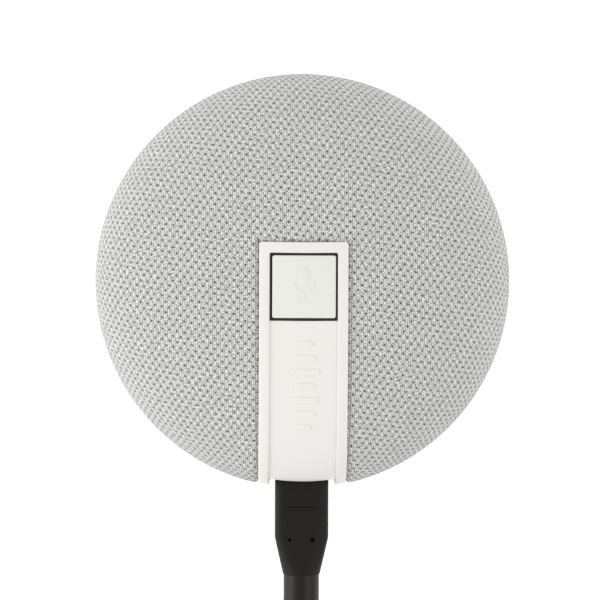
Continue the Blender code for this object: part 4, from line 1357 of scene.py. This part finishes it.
class SPEAKER_OT_inner_finishes(bpy.types.Operator):
    """Finishes for the pieces that keep the shape they have in the frame."""

    bl_idname = "speaker.inner_finishes"
    bl_label = "Inner finishes"

    def execute(self, context):
        black = moulded("black_inner_moulding", (0.028, 0.028, 0.03), 0.55, depth=0.4)
        steel = metal("bright_steel", (0.62, 0.62, 0.63), 0.3)
        screw = metal("zinc_screw", (0.58, 0.58, 0.56), 0.34, (600.0, 600.0, 5200.0))
        iron = cast_iron("cast_iron")
        board = circuit("green_board")
        paper = pressed_paper("pressed_paper")
        ivory = moulded("ivory_nylon", (0.78, 0.75, 0.64), 0.4, depth=0.2)
        white = moulded("white_inner_moulding", (0.72, 0.72, 0.70), 0.5, depth=0.3)
        chip = moulded("chip_epoxy", (0.03, 0.03, 0.032), 0.48, grain=0.06)
        finishes = {
            "ballast_plate": iron, "magnet": iron, "inner_chassis": black, "driver_basket": black,
            "receptacle_tongue": black, "switch_body": black, "main_board": board, "mic_board": board,
            "button_board": board, "shield_can": steel, "usb_receptacle": steel, "magnet_cup": steel,
            "pole_plate": steel, "capacitor_1": steel, "capacitor_2": steel, "sound_processor": chip,
            "speaker_connector": ivory, "board_connector": ivory, "button_connector": ivory,
            "switch_plunger": ivory, "status_led_left": ivory, "status_led_right": ivory,
            "grille_shell": white, "driver_cone": paper, "dust_cap": paper,
            "voice_coil": wound_copper("voice_coil_wire"),
            "front_gasket": open_foam("gasket_foam"),
            "flat_ribbon": polyimide("amber_ribbon"),
            "wire_plus": moulded("red_sleeve", (0.5, 0.025, 0.018), 0.38, grain=0.05),
            "wire_minus": moulded("black_sleeve", (0.02, 0.02, 0.02), 0.38, grain=0.05),
        }
        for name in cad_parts:
            if "_screw_" in name:
                finishes[name] = screw
        for name, finish in finishes.items():
            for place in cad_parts[name].material_slots:
                place.material = finish
        return {"FINISHED"}


# ------------------------------------------------------------------ stage

class SPEAKER_OT_stage(bpy.types.Operator):
    """Pale table, soft lights and the camera above the speaker."""

    bl_idname = "speaker.stage"
    bl_label = "Stage"

    def execute(self, context):
        scene = context.scene
        deselect()
        bpy.ops.mesh.primitive_plane_add(size=6.0, location=(0, 0, -0.0002))
        table = context.object
        table.name = "table"
        settle(table)
        finish, tree, shader = new_finish("pale_table")
        feed(tree, shader, Base_Color=(0.93, 0.93, 0.93), Roughness=0.7, Emission_Color=(1.0, 1.0, 1.0),
             Emission_Strength=0.42)
        table.data.materials.append(finish)

        world = scene.world or bpy.data.worlds.new("studio")
        scene.world = world
        world.use_nodes = True
        backdrop = world.node_tree.nodes["Background"]
        backdrop.inputs["Color"].default_value = (1.0, 1.0, 1.0, 1.0)
        backdrop.inputs["Strength"].default_value = 0.71
        scene.view_settings.view_transform = "Standard"

        lights = (
            ("left_softbox", (-0.85, -0.16, 0.22), 0.8, 6.4),
            ("right_softbox", (0.75, -0.22, 0.72), 0.8, 3.6),
            ("back_softbox", (0.05, 0.85, 0.45), 0.8, 1.2),
        )
        aim = Vector((0, 0, 0.015))
        for name, place, width, watts in lights:
            turn = (aim - Vector(place)).to_track_quat("-Z", "Y").to_euler()
            bpy.ops.object.light_add(type="AREA", location=place, rotation=turn)
            light = context.object
            light.name = name
            light.data.size = width
            light.data.energy = watts

        target = Vector((-0.0005, -0.0039, 0.012))
        place = target + Vector((-0.008, 0.0026, 0.563))
        forward = (target - place).normalized()
        roll = math.radians(0.21)
        right = forward.cross(Vector((-math.sin(roll), math.cos(roll), 0.0))).normalized()
        up = right.cross(forward)
        turn = Matrix((right, up, -forward)).transposed().to_4x4()
        bpy.ops.object.camera_add()
        camera = context.object
        camera.name = "camera"
        camera.matrix_world = Matrix.Translation(place) @ turn
        camera.data.sensor_width = 36.0
        camera.data.lens = 164.5
        camera.data.clip_start = 0.01
        scene.camera = camera
        return {"FINISHED"}


OPERATORS = (
    SPEAKER_OT_stage,
    SPEAKER_OT_lead,
    SPEAKER_OT_plugs,
    SPEAKER_OT_coil_tie,
    SPEAKER_OT_knit_cover,
    SPEAKER_OT_strap,
    SPEAKER_OT_button,
    SPEAKER_OT_light_guide,
    SPEAKER_OT_base,
    SPEAKER_OT_foot,
    SPEAKER_OT_port_frame,
    SPEAKER_OT_cone_suspension,
    SPEAKER_OT_inner_finishes,
)


class SPEAKER_PT_build(bpy.types.Panel):
    """Lists the speaker's settings and the operators that build it."""

    bl_idname = "SPEAKER_PT_build"
    bl_label = "Pebble speaker"
    bl_space_type = "VIEW_3D"
    bl_region_type = "UI"
    bl_category = "Speaker"

    def draw(self, context):
        layout = self.layout
        for settings in (context.scene.speaker_sizes, context.scene.speaker_colours):
            for name in settings.__annotations__:
                layout.prop(settings, name)
        for operator in OPERATORS:
            layout.operator(operator.bl_idname)


CLASSES = (SpeakerSizes, SpeakerColours, *OPERATORS, SPEAKER_PT_build)


def register():
    """Adds the speaker's settings, operators and panel."""
    for each in CLASSES:
        bpy.utils.register_class(each)
    bpy.types.Scene.speaker_sizes = bpy.props.PointerProperty(type=SpeakerSizes)
    bpy.types.Scene.speaker_colours = bpy.props.PointerProperty(type=SpeakerColours)


def unregister():
    """Takes them out again."""
    del bpy.types.Scene.speaker_colours
    del bpy.types.Scene.speaker_sizes
    for each in reversed(CLASSES):
        bpy.utils.unregister_class(each)


def main():
    """Builds everything in order."""
    register()
    for operator in OPERATORS:
        group_name, operator_name = operator.bl_idname.split(".")
        build = getattr(getattr(bpy.ops, group_name), operator_name)
        if build() != {"FINISHED"}:
            raise RuntimeError(f"{operator.bl_label} did not finish")
    deselect()


if __name__ == "__main__":
    main()
